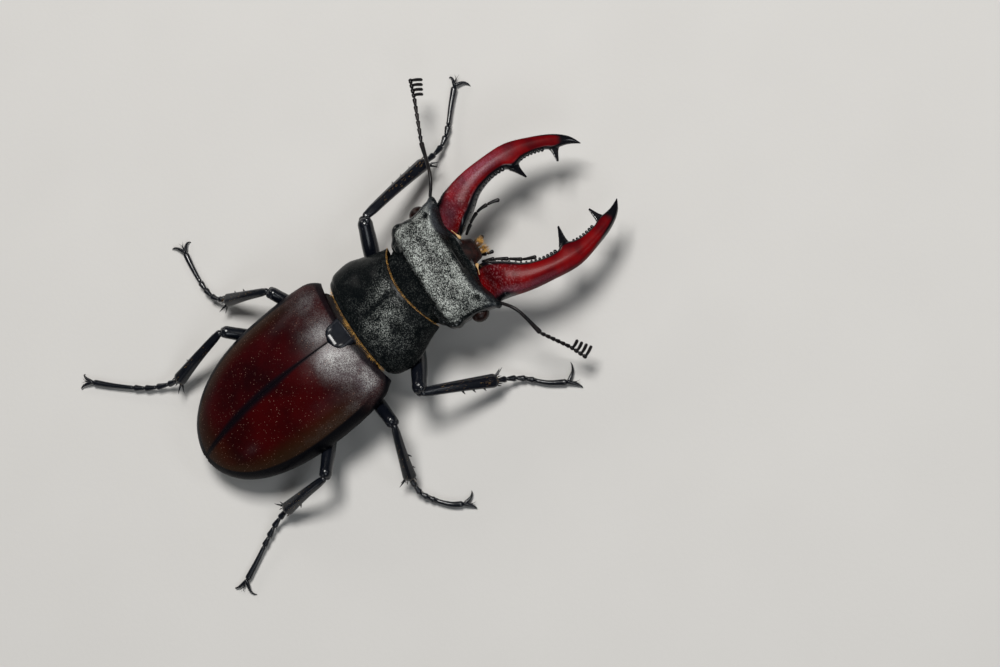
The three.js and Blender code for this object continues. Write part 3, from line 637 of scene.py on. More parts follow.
@dataclass(frozen=True)
class JawFinish:
    """Ruby-red chitin; its marks blacken it, roughen it and lay a pale mauve painted sheen on it."""

    ruby: Colour = tint(0.150, 0.0018, 0.0028)
    wine: Colour = tint(0.060, 0.0010, 0.0026)
    # colour of the painted sheen on the jaws
    mauve_sheen: Colour = tint(0.36, 0.16, 0.23)
    black: Colour = tint(0.003, 0.003, 0.0045)
    pink: Colour = tint(0.42, 0.2, 0.22)
    grain: float = 0.00022

    def material(self, name: str) -> bpy.types.Material:
        """Builds the material."""
        graph = Graph(name)
        fine = graph.mark("fine")
        red = graph.mix(graph.step(graph.noise(0.003, 3.0), 0.35, 0.7), self.wine, self.ruby)
        dome = 1.0 - graph.cells(self.grain)
        freckle = graph.step(graph.chance(self.grain), 0.6, 1.0) * fine * 0.2
        freckled = graph.mix(freckle, red, self.pink)
        fleck = graph.step(graph.noise(0.00026, 3.0, 0.75), 0.35, 0.68)
        # paints the pale mauve sheen, grainy, where its mark lies
        sheen_painted = graph.mix(graph.mark("painted_bloom") * (0.2 + fleck * 0.5), freckled, self.mauve_sheen)
        black = graph.step(graph.mark("dark") + graph.noise(0.0008, 3.0) * 0.3 - 0.15, 0.2, 0.8)
        return graph.surface(
            Base_Color=graph.mix(black, sheen_painted, self.black),
            Roughness=0.27 + fine * 0.1 + graph.noise(0.0005) * 0.06 - black * 0.1,
            Normal=graph.bump(dome * (0.06 + fine * 0.8) + graph.noise(0.0006) * 0.12, 0.00003),
            Specular_IOR_Level=0.032,
            Coat_Weight=0.035 + black * 0.67,
            Coat_Roughness=0.14,
        )


@dataclass(frozen=True)
class GlossFinish:
    """Glossy chitin with scattered punctures."""

    base: Colour
    second: Colour
    roughness: float = 0.2
    cloud: float = 0.002
    puncture: float = 0.0004
    relief: float = 0.00002
    coat: float = 0.0
    coat_roughness: float = 0.1
    level: float = 0.3

    def material(self, name: str) -> bpy.types.Material:
        """Builds the material."""
        graph = Graph(name)
        colour = graph.mix(graph.step(graph.noise(self.cloud, 3.0), 0.35, 0.7), self.base, self.second)
        pit = 1.0 - graph.step(graph.cells(self.puncture), 0.12, 0.34)
        height = graph.noise(self.puncture * 0.8, 3.0) * 0.5 - pit * 0.7
        return graph.surface(
            Base_Color=colour,
            Roughness=self.roughness + graph.noise(self.puncture * 2.0, 2.0) * 0.12,
            Normal=graph.bump(height, self.relief),
            Specular_IOR_Level=self.level,
            Coat_Weight=self.coat,
            Coat_Roughness=self.coat_roughness,
        )


@dataclass(frozen=True)
class EyeFinish:
    """A compound eye: tiny facets in a dark red-brown dome."""

    base: Colour = tint(0.006, 0.0022, 0.0016)
    warm: Colour = tint(0.026, 0.0065, 0.004)
    facet: float = 0.00007

    def material(self, name: str) -> bpy.types.Material:
        """Builds the material."""
        graph = Graph(name)
        dome = 1.0 - graph.cells(self.facet)
        colour = graph.mix(graph.step(graph.noise(0.0009, 2.0), 0.35, 0.75) * dome, self.base, self.warm)
        return graph.surface(
            Base_Color=colour,
            Roughness=0.2 + graph.noise(0.0003) * 0.08,
            Normal=graph.bump(dome, 0.000012),
            Specular_IOR_Level=0.2,
            Coat_Weight=0.06,
            Coat_Roughness=0.06,
        )


@dataclass(frozen=True)
class HairFinish:
    """Bristles whose mark `tone` goes from dark root colours to pale tips."""

    root: Colour
    tip: Colour

    def material(self, name: str) -> bpy.types.Material:
        """Builds the material."""
        graph = Graph(name)
        share = graph.mark("tone") * 0.7 + graph.step(graph.noise(0.0007, 3.0), 0.35, 0.68) * 0.7 - 0.3
        return graph.surface(
            Base_Color=graph.mix(share, self.root, self.tip),
            Roughness=0.38 + graph.noise(0.0003) * 0.1,
            Sheen_Weight=0.1,
        )


@dataclass(frozen=True)
class FloorFinish:
    """Pale matt paper."""

    base: Colour = tint(0.50, 0.49, 0.475)
    second: Colour = tint(0.53, 0.52, 0.505)

    def material(self, name: str) -> bpy.types.Material:
        """Builds the material."""
        graph = Graph(name)
        colour = graph.mix(graph.noise(0.02, 4.0), self.base, self.second)
        return graph.surface(
            Base_Color=colour, Roughness=0.8, Normal=graph.bump(graph.noise(0.0008, 4.0), 0.00002)
        )


FINISHES = {
    Slot.GRANULAR: GranularFinish(),
    Slot.WING: WingFinish(),
    Slot.JAW: JawFinish(),
    Slot.BELLY: GlossFinish(
        tint(0.0045, 0.0035, 0.0035), tint(0.010, 0.006, 0.005), roughness=0.3, level=0.1,
    ),
    Slot.EYE: EyeFinish(),
    Slot.LABRUM: GlossFinish(
        tint(0.005, 0.0022, 0.0022), tint(0.022, 0.006, 0.0045), roughness=0.3, cloud=0.0008,
        puncture=0.00022, relief=0.00008, level=0.14,
    ),
    Slot.SCUTELLUM: GlossFinish(
        tint(0.002, 0.003, 0.006), tint(0.004, 0.006, 0.011), roughness=0.24, relief=0.000006, level=0.42
    ),
    Slot.LIMB: GlossFinish(
        tint(0.0022, 0.003, 0.0055), tint(0.004, 0.005, 0.008), roughness=0.16, relief=0.000012, level=0.42,
        coat=0.1, coat_roughness=0.33,
    ),
    Slot.FEELER: GlossFinish(
        tint(0.003, 0.003, 0.004), tint(0.008, 0.005, 0.005), roughness=0.24, cloud=0.0009, puncture=0.0002,
        level=0.2,
    ),
    Slot.SETAE: HairFinish(tint(0.07, 0.026, 0.006), tint(0.84, 0.46, 0.10)),
}
MEMBRANE = GlossFinish(
    tint(0.42, 0.25, 0.10), tint(0.60, 0.42, 0.22), roughness=0.4, cloud=0.0005, puncture=0.0002, coat=0.1
)


class Bench:
    """Turns meshes into finished pieces of the object."""

    BODY = "root"

    def __init__(self) -> None:
        """Makes one material for each slot."""
        self.materials = {slot: finish.material(slot.value) for slot, finish in FINISHES.items()}
        self.materials["membrane"] = MEMBRANE.material("joint_membrane")
        self.pieces: list[bpy.types.Object] = []

    def add(
        self,
        name: str,
        body: Body,
        slot: Slot,
        replaces: Sequence[str] = (),
        levels: int = 0,
        material: bpy.types.Material | None = None,
    ) -> bpy.types.Object:
        """Finishes a piece.

        Args:
            name: The piece's name.
            body: Its mesh, in millimetres from the waist.
            slot: The record's slot that it takes its finish from.
            replaces: The solids that it stands for.
            levels: Subdivision levels, from none.
            material: A finish of its own, in place of the slot's.

        Returns:
            The piece.
        """
        bmesh.ops.recalc_face_normals(body, faces=body.faces)
        bmesh.ops.translate(body, vec=WAIST, verts=body.verts)
        bmesh.ops.scale(body, vec=Vector((MM, MM, MM)), verts=body.verts)
        for face in body.faces:
            face.smooth = True
        mesh = stored(name, body)
        piece = stood(name, mesh)
        mesh.materials.append(material or self.materials[slot])
        if levels:
            smooth = piece.modifiers.new("smooth", "SUBSURF")
            smooth.levels = levels
            smooth.render_levels = levels
        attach(piece, self.BODY)
        if replaces:
            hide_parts(*replaces)
        self.pieces.append(piece)
        LOG.info("%s: %d faces", name, len(mesh.polygons))
        return piece


# ---------------------------------------------------------------- wing cases


@dataclass
class WingCases:
    """The two wing cases and the small shield between their roots."""

    front: float = 1.3
    shoulder_lead: float = 0.9
    length: float = 31.0
    bulge_at: float = 10.0
    full_length: float = 31.1
    half_width: float = 11.1
    shoulder_half_width: float = 9.6
    shoulder_round: float = 2.6
    taper: float = 2.4
    corner: float = 0.75  # how far the shoulder's corner is rounded off
    corner_end: float = 3.2
    roundness: float = 2.3
    crown: float = 0.5
    wall: float = 0.5
    seam: float = 0.02
    margin_width: float = 0.6
    # the dark margin is wider on the left, partly as painted shade along the raised margin
    left_margin_width: float = 1.1
    # an even painted shade over the whole left case
    left_painted_shade: float = 0.2
    bead_start: Row = (1.2, 2.6)
    rim_ridges: tuple[Ridge, ...] = ((0.12, 0.16, 0.16), (-0.16, 0.5, 0.2))
    seam_ridges: tuple[Ridge, ...] = ((0.05, 0.28, 0.16), (-0.06, 0.0, 0.1), (-0.05, 0.62, 0.2))
    shoulder_knobs: tuple[Knob, ...] = ((0.18, 7.4, 3.4, 1.9), (-0.14, 5.2, 3.0, 1.3))
    rib_pitch: float = 2.6
    rib_height: float = 0.012
    rib_ends: Ends = (3.0, 8.0, 24.0, 29.0)
    grid: tuple[int, int] = (84, 150)
    front_roll: float = 0.9
    shield_front: float = 0.4
    shield_rear: float = 3.75
    shield_half_width: float = 1.95
    shield_straight: float = 1.5
    shield_top: float = 14.75
    top: Track = track(
        (1.3, 14.2), (4, 14.9), (9, 15.5), (13, 15.4), (18, 14.6), (22, 13.1), (26, 10.7), (29, 8.4),
        (31.1, 5.9),
    )
    rim: Track = track((0.4, 11.1), (5, 9.7), (10, 8.8), (16, 8.1), (22, 7.3), (31.1, 5.3))
    band: Track = track((1, 0.35), (6, 0.4), (10, 0.7), (14, 1.25), (22, 1.35), (27, 0.9), (31, 0.7))

    def half(self, y: float) -> float:
        """The half width over both wing cases."""
        behind = clamp((y - self.bulge_at) / (self.full_length - self.bulge_at))
        ahead = clamp((self.bulge_at - y) / self.bulge_at)
        narrowing = (self.half_width - self.shoulder_half_width) * ahead**self.shoulder_round
        narrowing += self.corner * clamp((self.corner_end - y) / (self.corner_end - self.front)) ** 2
        return max(self.half_width * math.sqrt(1.0 - behind**self.taper) - narrowing, 0.05)

    def shield_half(self, y: float) -> float:
        """The half width of the shield, 0 behind its tip."""
        if y > self.shield_rear:
            return 0.0
        tip = self.shield_front + self.shield_straight
        return self.shield_half_width * arch(clamp((y - tip) / (self.shield_rear - tip)), 2.2, 0.5)

    def surface(self, across: float, along: float) -> Vector:
        """A point of the left wing case's outer face.

        Args:
            across: From 0 at the seam to 1 at the outer margin.
            along: From 0 at the front edge to 1 at the hind tip.

        Returns:
            The point.
        """
        share = math.sin(gathered(across, 0.5) * math.pi / 2.0)
        y = blend(self.front, self.length, gathered(along, 0.8))
        notch = max(self.shield_half(y) + 0.18, 0.0) if y < self.shield_rear + 0.1 else 0.0
        inner = max(self.seam, notch)
        half = self.half(y)
        x = inner + (half - inner) * share
        rise = self.top(y) - self.rim(y)
        height = self.rim(y) + rise * arch(min(x / half, 1.0), self.roundness, self.crown)
        roll = self.front_roll * (1.0 - dome((y - self.front) / self.front_roll))
        y -= self.shoulder_lead * share * (1.0 - along) ** 2
        return Vector((x, y, height - 0.85 * roll))

    def relief(self, place: Vector, normal: Vector) -> float:
        """The height of beads, grooves and swellings over the smooth face."""
        half = self.half(place.y)
        if normal.z < -0.2:
            return 0.0
        to_rim = half - place.x if place.y < 30.0 else 9.0
        to_seam = place.x - self.seam
        height = ease(*self.bead_start, place.y) * ridges(to_rim, self.rim_ridges)
        if place.y > self.shield_rear:
            height += ridges(to_seam, self.seam_ridges)
        height += knobs(place.x, place.y, self.shoulder_knobs)
        ribs = math.cos(place.x * self.rib_pitch + 0.3 * math.sin(place.y * 0.2))
        height += self.rib_height * ribs * span(place.y, self.rib_ends)
        return height + 0.02 * noise.noise(place * 0.45)

    def to_margin(self, place: Vector) -> float:
        """How far a point lies from the outer margin, seen from above."""
        nudge = 0.05
        slope = (self.half(place.y + nudge) - self.half(place.y - nudge)) / (2.0 * nudge)
        return (self.half(place.y) - place.x) / math.hypot(1.0, slope)

    def dark(self, place: Vector, side: float) -> float:
        """How dark the shell is: black along the seam and at the margin, darker over the low flanks, towards
        the tail and at the front edge; the wider dark margin on the left is partly painted shade of its
        raised edge, and the whole left case carries an even painted shade.
        """
        half = self.half(place.y)
        band = self.band(place.y)
        seam = fade(0.15 * band, 0.9 * band, abs(place.x))
        wide = self.margin_width
        if side > 0:
            wide = blend(self.left_margin_width, 0.8, ease(20.0, 28.0, place.y))
        rim = fade(0.65 * wide, wide, self.to_margin(place)) * ease(2.0, 7.0, place.y)
        over_rim = place.z - self.rim(place.y)
        share = abs(place.x) / half
        rim = max(rim, fade(0.5, 0.9, over_rim)) if share > 0.7 else rim
        tail = fade(0.5, 2.2, over_rim) if share > 0.5 or place.y > 29.0 else 0.0
        front = fade(0.2, 0.7, place.y - self.front + self.shoulder_lead * share)
        return clamp(max(0.93 * seam, rim, tail, 0.85 * front, self.left_painted_shade if side > 0 else 0.0))

    def olive(self, place: Vector) -> float:
        """How strong the brown painted glancing sheen is: towards the outer margin and the hind tip."""
        share = abs(place.x) / max(self.half(place.y), 0.1)
        return clamp(ease(0.62, 0.93, share) * ease(3.0, 10.0, place.y) + 0.8 * ease(25.0, 30.0, place.y))

    def milky(self, place: Vector, side: float) -> float:
        """How strong the painted silvery sheen is: round the shield and on the shoulders, most on the right,
        with painted highlight spots on the right case.
        """
        x = abs(place.x)
        base = (0.1 if side > 0 else 0.15) * fade(3.5, 9.0, place.y)
        shield = bell(place.y - 3.9, 3.0) * bell(x - 2.4, 2.2)
        front = bell(place.y - 2.9 - 0.06 * x, 2.6) * span(x, (1.0, 2.4, 8.8, 9.9))
        flank = bell(x - 0.9 * self.half(place.y), 0.7) * bell(place.y - 9.0, 7.0)
        if side > 0:
            corner = knobs(x, place.y, [(0.2, 7.4, 3.0, 1.5)])
            shield = 0.36 * bell(place.y - 3.9, 2.5) * bell(x - 1.9, 1.6)
            return clamp(base + shield + 0.16 * front * bell(x - 1.4, 2.6) + corner + 0.05 * flank)
        # painted highlight spots on the right case
        painted_highlight = 0.35 * bell(place.y - 3.4, 1.3) * bell(x - 3.2, 1.6)
        painted_highlight += 0.45 * bell(place.y - 2.2, 0.9) * bell(x - 8.0, 1.2)
        front *= blend(1.0, bell(place.y - 1.6, 2.2), ease(4.5, 7.5, x))
        return clamp(base + 0.75 * shield + 0.54 * front + 0.09 * flank + painted_highlight)

    def wing_case(self, side: float) -> Body:
        """One wing case, with its marks."""
        shell = swollen(sheet(*self.grid, self.surface, -self.wall), self.relief)
        marked(shell, dark=lambda place: self.dark(place, side), olive=self.olive,
               milky=lambda place: self.milky(place, side))
        if side < 0:
            bmesh.ops.scale(shell, vec=Vector((-1.0, 1.0, 1.0)), verts=shell.verts)
        return turned(shell, ABDOMEN_TURN)

    def shield(self) -> Body:
        """The shield: domed, with its edge rolled down."""

        def place(across: float, along: float) -> Vector:
            """A point of the shield's upper face."""
            u = 2.0 * gathered(across, 0.5) - 1.0
            y = blend(self.shield_front, self.shield_rear - 0.02, gathered(along, 0.6))
            half = max(self.shield_half(y), 0.05)
            edge = min(half * (1.0 - abs(u)), 0.8 * (self.shield_rear - y))
            roll = 0.5 * fade(-0.25, 0.42, edge)
            raised = 0.2 * fade(0.1, 0.85, edge) * ease(1.9, 2.9, y)
            slope = 0.1 * (y - self.shield_rear)
            return Vector((u * half, y, self.shield_top - 0.4 + raised - slope - roll))

        return turned(sheet(40, 40, place, -0.5), ABDOMEN_TURN)

    def build(self, bench: Bench) -> None:
        """Makes the pieces."""
        for name, side in SIDES:
            bench.add(f"wing_case_{name}", self.wing_case(side), Slot.WING, [f"elytron_{name}"])
        bench.add("wing_shield", self.shield(), Slot.SCUTELLUM, ["scutellum"])


# ---------------------------------------------------------------- pronotum


@dataclass
class Pronotum:
    """The broad plate behind the head, with the front of the trunk under it."""

    roundness: float = 2.2
    crown: float = 0.7
    keel: float = 0.6
    edge: float = 0.35
    rings: int = 120
    sides: int = 176
    cap: float = 0.12  # share of the rings in each end
    edge_half: Row = (7.5, 8.2)  # half the length of the front and of the rear edge
    upper_z: float = 10.5  # the finish's granules lie over this height
    front_ridges: tuple[Ridge, ...] = ((-0.03, 0.5, 0.25),)
    rear_ridges: tuple[Ridge, ...] = ((0.08, 0.15, 0.18), (-0.08, 0.6, 0.26))
    groove: tuple[Ridge, ...] = ((-0.3, 0.0, 0.3), (-0.08, 0.0, 0.9))
    groove_ends: Ends = (-9.6, -8.6, -3.2, -1.8)
    dents: tuple[Knob, ...] = (
        (-0.08, 4.3, -6.4, 0.42), (-0.18, -4.3, -6.4, 0.42), (0.05, 3.6, -8.2, 1.6), (0.05, -3.6, -8.2, 1.6),
    )
    spots: tuple[Knob, ...] = (
        (-0.45, 4.9, -5.6, 1.7), (-0.45, -4.6, -5.9, 0.9), (-0.45, 6.6, -4.2, 1.4), (0.4, 1.5, -8.5, 1.2),
    )  # painted patches of pale sheen and of shade on the granules
    # where the middle groove carries a painted shade line
    groove_shade_ends: Ends = (-10.4, -9.4, -2.4, -1.4)
    half: Track = track(
        (0, 7.5), (0.22, 8.1), (0.45, 9.1), (0.62, 9.75), (0.82, 9.5), (0.93, 8.95), (1, 8.3),
    )
    margin_y: Track = track((0, -11.5), (0.22, -9.3), (0.45, -6.9), (0.62, -4.8), (0.82, -2.3), (1, -0.75))
    midline_y: Track = track((0, -9.8), (0.22, -8.0), (0.45, -5.7), (0.62, -3.9), (0.82, -1.9), (1, -0.4))
    margin_z: Track = track((0, 12.4), (0.45, 11.2), (0.62, 10.9), (1, 11.1))
    rise: Track = track((0, 3.75), (0.22, 4.8), (0.5, 5.0), (0.82, 4.3), (1, 3.5))
    drop: Track = track((0, 3.2), (0.3, 4.9), (0.6, 5.6), (0.85, 4.8), (1, 3.0))

    def rim(self, along: float, share: float, upper: bool = True) -> Vector:
        """A point of the outer face.

        Args:
            along: From 0 at the front edge to 1 at the rear edge.
            share: From -1 at the right margin to 1 at the left one.
            upper: Whether it lies on the upper face.

        Returns:
            The point.
        """
        y = blend(self.midline_y(along), self.margin_y(along), share**2)
        edge = self.edge * math.sqrt(max(1.0 - share**8, 0.0))
        if upper:
            height = edge + self.rise(along) * arch(share, self.roundness, self.crown)
        else:
            height = -edge - self.drop(along) * arch(share, self.roundness, self.keel)
        return Vector((self.half(along) * share, y, self.margin_z(along) - self.edge + height))

    def place(self, way: float, angle: float) -> Vector:
        """A vertex: the front end is hollowed for the neck, and the rear one for the waist."""
        share = math.cos(angle)
        along, into = capped(way, self.cap)
        point = self.rim(gathered(along, 0.45), share, math.sin(angle) >= 0.0)
        if into > 0.0:
            bent = min(into * 3.0, 1.0)
            shrink = 1.0 - (into if into > 0.34 else 0.35 * into)
            point = Vector((0.0, point.y, 10.6)).lerp(point, shrink)
            point.y += (2.2 if way < 0.5 else -1.2) * dome(bent) * bent
        return point

    def from_edge(self, place: Vector, end: int) -> float:
        """How far a point lies from the front edge, for an end of 0, or from the rear edge, for 1."""
        edge = blend(self.midline_y(end), self.margin_y(end), clamp(abs(place.x) / self.edge_half[end]) ** 2)
        return edge - place.y if end else place.y - edge

    def relief(self, place: Vector, normal: Vector) -> float:
        """Beads round the plate, its middle groove and its dents."""
        if normal.z < 0.05:
            return 0.0
        height = ridges(self.from_edge(place, 0), self.front_ridges)
        height += ridges(self.from_edge(place, 1), self.rear_ridges)
        height += span(place.y, self.groove_ends) * ridges(place.x, self.groove)
        for _, side in SIDES:
            height -= 0.15 * bell(place.x - side * 4.9, 2.0) * bell(place.y + 5.6, 1.3)
        return height + knobs(place.x, place.y, self.dents) + 0.03 * noise.noise(place * 0.8)

    def grain(self, place: Vector) -> float:
        """How close the granules are and how strong their pale painted sheen is: most in the front middle,
        with painted patches of sheen and shade, painted shade along the middle groove, and least at the bare
        edges.
        """
        bare = ease(0.25, 0.9, self.from_edge(place, 0)) * ease(0.25, 0.8, self.from_edge(place, 1))
        pale = 0.03 + 0.5 * bell(place.y + 7.6, 2.4) * bell(place.x + 1.0, 3.8)
        pale += 0.5 * bell(place.y + 4.2, 2.6) * bell(place.x + 3.4, 3.4)
        pale += knobs(place.x, place.y, self.spots)
        groove = bell(place.x, 0.5) * span(place.y, self.groove_shade_ends)
        return clamp(pale * bare * (1.0 - groove)) if place.z > self.upper_z else 0.03

    def gloss(self, place: Vector) -> float:
        """How polished the shell is: along its rear edge."""
        return 0.7 * bell(self.from_edge(place, 1) - 0.1, 0.2) if place.z >= self.upper_z else 0.0

    def build(self, bench: Bench) -> None:
        """Makes the piece."""
        shell = swollen(ball(self.rings, self.sides, self.place), self.relief)
        marked(shell, grain=self.grain, gloss=self.gloss)
        bench.add("pronotum_shell", shell, Slot.GRANULAR, ["pronotum"])


# ---------------------------------------------------------------- head


@dataclass
class Head:
    """The head capsule with its eyes, upper lip and mouth parts."""

    rings: int = 150
    sides: int = 190
    cap: float = 0.08
    half: Track = track(
        (0, 9.0), (0.06, 9.9), (0.1, 10.05), (0.15, 9.95), (0.2, 9.75), (0.4, 9.3), (0.6, 9.3), (0.72, 9.3),
        (0.8, 8.75), (0.86, 7.6), (0.92, 6.5), (1, 6.1),
    )
    midline_y: Track = track(
        (0, -21.5), (0.1, -20.4), (0.2, -19.3), (0.4, -17.2), (0.6, -15.2), (0.72, -14.0), (0.84, -12.9),
        (0.9, -11.6), (1, -8.9),
    )
    margin_y: Track = track(
        (0, -21.3), (0.1, -20.9), (0.2, -19.6), (0.4, -17.4), (0.6, -15.4), (0.72, -14.2), (0.84, -12.9),
        (0.9, -11.8), (1, -9.2),
    )
    top_z: Track = track(
        (0, 12.25), (0.05, 12.35), (0.1, 12.9), (0.15, 14.3), (0.19, 15.2), (0.24, 15.5), (0.35, 15.35),
        (0.5, 15.45), (0.65, 15.6), (0.73, 15.65), (0.79, 15.3), (0.85, 14.5), (0.92, 13.9), (1, 13.5),
    )
    floor_z: Track = track((0, 8.6), (0.3, 7.9), (0.7, 7.5), (1, 8.2))
    margin_z: Track = track((0, 12.2), (0.1, 12.8), (0.4, 12.5), (0.72, 13.0), (0.9, 12.0), (1, 11.4))
    eye: Point = (9.2, -18.0, 11.75)
    eye_half: Point = (1.35, 1.45, 1.15)
    front_edge: float = -21.45
    upper_z: float = 11.0  # the finish's marks lie over this height
    neck: float = -12.0  # where the bare neck starts
    pit: Row = (7.75, -19.15)
    lobe: Row = (6.6, -15.2)
    lobe_reach: float = 2.8
    lobe_ridges: tuple[Ridge, ...] = ((0.24, 2.8, 0.34), (-0.26, 2.2, 0.26))
    front_ridges: tuple[Ridge, ...] = ((-0.06, 1.0, 0.5),)
    side_ridges: tuple[Ridge, ...] = ((0.16, 0.25, 0.25), (-0.12, 0.8, 0.28))
    swelling: Knob = (0.14, 5.6, -14.7, 1.8)
    fold: Point = (-0.8, -19.7, 0.16)  # the short fold behind the lip: its x, y and reach
    fold_half: Row = (1.2, 2.2)
    # the painted blue-grey reflection is weaker on the right
    right_slate: float = 0.4
    socket_at: float = 5.4
    socket_reach: float = 2.1
    socket_depth: float = 0.8
    lip_half_width: float = 1.8
    lip_front: float = -22.4
    lip_rear: float = -20.7
    lip_top: float = 11.75

    def __post_init__(self) -> None:
        """Works out how wide the head is at each place along its margins."""
        steps = [index / 60 for index in range(61)]
        self.side = Track([(self.margin_y(along), self.half(along)) for along in steps])

    def scallop(self, x: float) -> float:
        """How far back the head's front edge lies where it makes room for a jaw."""
        return self.socket_depth * bell(abs(x) - self.socket_at, self.socket_reach)

    def capsule(self, way: float, angle: float) -> Vector:
        """A vertex of the head, with the mouth hollow in front."""
        share = math.cos(angle)
        upper = math.sin(angle) >= 0.0
        along, into = capped(way, self.cap)
        corner = ease(5.4, 8.4, abs(share) * self.half(along)) * fade(0.1, 0.42, along)
        x = self.half(along) * share
        y = blend(self.midline_y(along), self.margin_y(along), share**2)
        y += self.scallop(x) * fade(0.0, 0.14, along)
        margin = self.margin_z(along)
        edge = 0.6 * math.sqrt(max(1.0 - share**10, 0.0))
        if upper:
            rise = self.top_z(clamp(along + 0.055 * corner)) - margin
            z = margin - 0.6 + edge + rise * arch(share, 5.0, 0.6)
        else:
            keel = margin - 1.2
            z = margin - 0.6 - edge - (keel - self.floor_z(along)) * arch(share, 2.4, 0.6)
        point = Vector((x, y, z))
        if into > 0.0:
            point = Vector((0.0, point.y, 10.8)).lerp(point, 1.0 - into**1.6)
            point.y += (1.8 if way < 0.5 else -0.5) * ease(0.0, 0.5, into)
        return point

    def from_front(self, place: Vector) -> float:
        """How far a point lies behind the front edge."""
        return place.y - self.front_edge - self.scallop(place.x)

    def from_lobe(self, place: Vector) -> float:
        """How far a point lies from the middle of the lobe behind the eye."""
        return math.hypot(abs(place.x) - self.lobe[0], place.y - self.lobe[1])

    def behind_lobe(self, place: Vector) -> float:
        """1 on the rear outer side of the lobe, and 0 elsewhere."""
        return ease(4.4, 5.6, abs(place.x)) * ease(-15.6, -14.6, place.y)

    def in_pit(self, place: Vector, reach: float) -> float:
        """1 in the pit behind the front corner, fading over reach."""
        return bell(math.hypot(abs(place.x) - self.pit[0], place.y - self.pit[1]), reach)

    def on_fold(self, place: Vector, reach: float) -> float:
        """1 on the short fold behind the lip, fading over reach."""
        x, y, _ = self.fold
        return bell(place.y - y, reach) * fade(*self.fold_half, abs(place.x - x))

    def relief(self, place: Vector, normal: Vector) -> float:
        """Ridges, pits and rims of the upper face."""
        if normal.z < 0.1 or place.y > self.neck:
            return 0.0
        x, y = abs(place.x), place.y
        front = self.from_front(place)
        height = 0.14 * bell(front - 0.3, 0.3) * ease(2.0, 3.4, x) + ridges(front, self.front_ridges)
        height -= 0.8 * self.in_pit(place, 0.45)
        height += 0.3 * bell((y + 20.55) + 0.35 * (x - 8.6), 0.38) * ease(6.8, 8.0, x)
        height += ridges(self.side(y) - x, self.side_ridges)
        height += 0.2 * self.on_fold(place, self.fold[2])
        height -= 0.16 * bell(y + 17.2, 1.0) * fade(5.0, 8.0, x)
        height += knobs(x, y, [self.swelling])
        height += self.behind_lobe(place) * ridges(self.from_lobe(place), self.lobe_ridges)
        return height + 0.03 * noise.noise(place * 0.9)

    def grain(self, place: Vector) -> float:
        """How close the granules are and how strong their pale painted sheen is: full on the flat plateau
        that faces the light, less in a painted shaded band across it and in the pits, little on the slopes
        and rims.
        """
        x = abs(place.x)
        corner = 0.9 * ease(5.4, 8.4, x)
        long = ease(-19.75 - corner, -19.15 - corner, place.y) * fade(-13.7, -12.9, place.y)
        gap = self.from_lobe(place) if x > self.lobe[0] or place.y > self.lobe[1] else 0.0
        aside = fade(2.1, 2.5, gap) if place.y > -16.2 and x > 4.6 else 1.0
        top = ease(13.0, 13.9, place.z) * ease(0.45, 0.85, self.side(place.y) - x)
        band = 1.0 - 0.28 * bell(place.y + 16.6, 0.9)
        return clamp(0.05 + 0.95 * long * aside * (1.0 - self.in_pit(place, 0.55)) * top * band)

    def gloss(self, place: Vector) -> float:
        """How polished the shell is: along its margins and its front edge."""
        x = abs(place.x)
        if place.y > self.neck or place.z < self.upper_z:
            return 0.0
        rims = max(
            bell(self.side(place.y) - x - 0.2, 0.35),
            self.behind_lobe(place) * bell(self.from_lobe(place) - self.lobe_reach, 0.5),
        )
        front = 0.2 * bell(self.from_front(place) - 0.3, 0.3) * ease(2.0, 3.4, x)
        return clamp(max(rims, 0.8 * self.on_fold(place, 0.25), 0.4 * self.slate(place), front))

    def slate(self, place: Vector) -> float:
        """How strong the smooth blue-grey painted reflection is: behind the jaws' sockets, out to the
        corners, weaker on the right, away from the light.
        """
        x = abs(place.x)
        if place.y > -17.0 or place.z < self.upper_z:
            return 0.0
        slope = 0.8 * bell(self.from_front(place) - 0.95, 0.55) * ease(3.0, 5.2, x)
        corner = knobs(x, place.y, [(1.0, 8.7, -20.4, 1.1)])
        strength = 1.0 if place.x > 0.0 else self.right_slate
        return clamp(max(slope, corner) * (1.0 - self.in_pit(place, 0.7)) * strength)

    def eyeball(self, side: float) -> Body:
        """One eye."""
        return lobe(mirrored(self.eye, side), self.eye_half, rings=32, sides=44)

    def lip(self) -> Body:
        """The upper lip: a plate with a notched, rolled front edge."""

        def place(across: float, along: float) -> Vector:
            """A point of the lip's upper face."""
            u = 2.0 * gathered(across, 0.5) - 1.0
            ahead = 1.0 - along
            half = self.lip_half_width * (1.0 - 0.34 * ahead**1.2)
            y = blend(self.lip_front, self.lip_rear, along) + 0.26 * abs(u) ** 2.5 * ahead
            y += 0.22 * bell(u, 0.3) * ahead**3
            roll = 0.35 * bell(min((1.0 - abs(u)) * half, 3.0 * along), 0.22)
            return Vector((u * half, y, self.lip_top - 0.75 * ahead - 0.3 * u * u - roll))

        return sheet(36, 36, place, -0.9)

    def brush(self) -> list[Body]:
        """The two lobes that carry the mouth's brush."""
        return [lobe(Vector((0.6 * side, -23.1, 10.1)), (0.5, 0.7, 0.4)) for _, side in SIDES]

    def build(self, bench: Bench) -> None:
        """Makes the pieces."""
        skull = swollen(ball(self.rings, self.sides, self.capsule), self.relief)
        marked(skull, grain=self.grain, gloss=self.gloss, slate=self.slate)
        bench.add("head_capsule", turned(skull, HEAD_TURN), Slot.GRANULAR, ["head"])
        bench.add("upper_lip", turned(self.lip(), HEAD_TURN), Slot.LABRUM, ["labrum"])
        bench.add("mouth_lobes", turned(joined(self.brush()), HEAD_TURN), Slot.SETAE)
        for name, side in SIDES:
            bench.add(f"eye_dome_{name}", turned(self.eyeball(side), HEAD_TURN), Slot.EYE, [f"eye_{name}"])


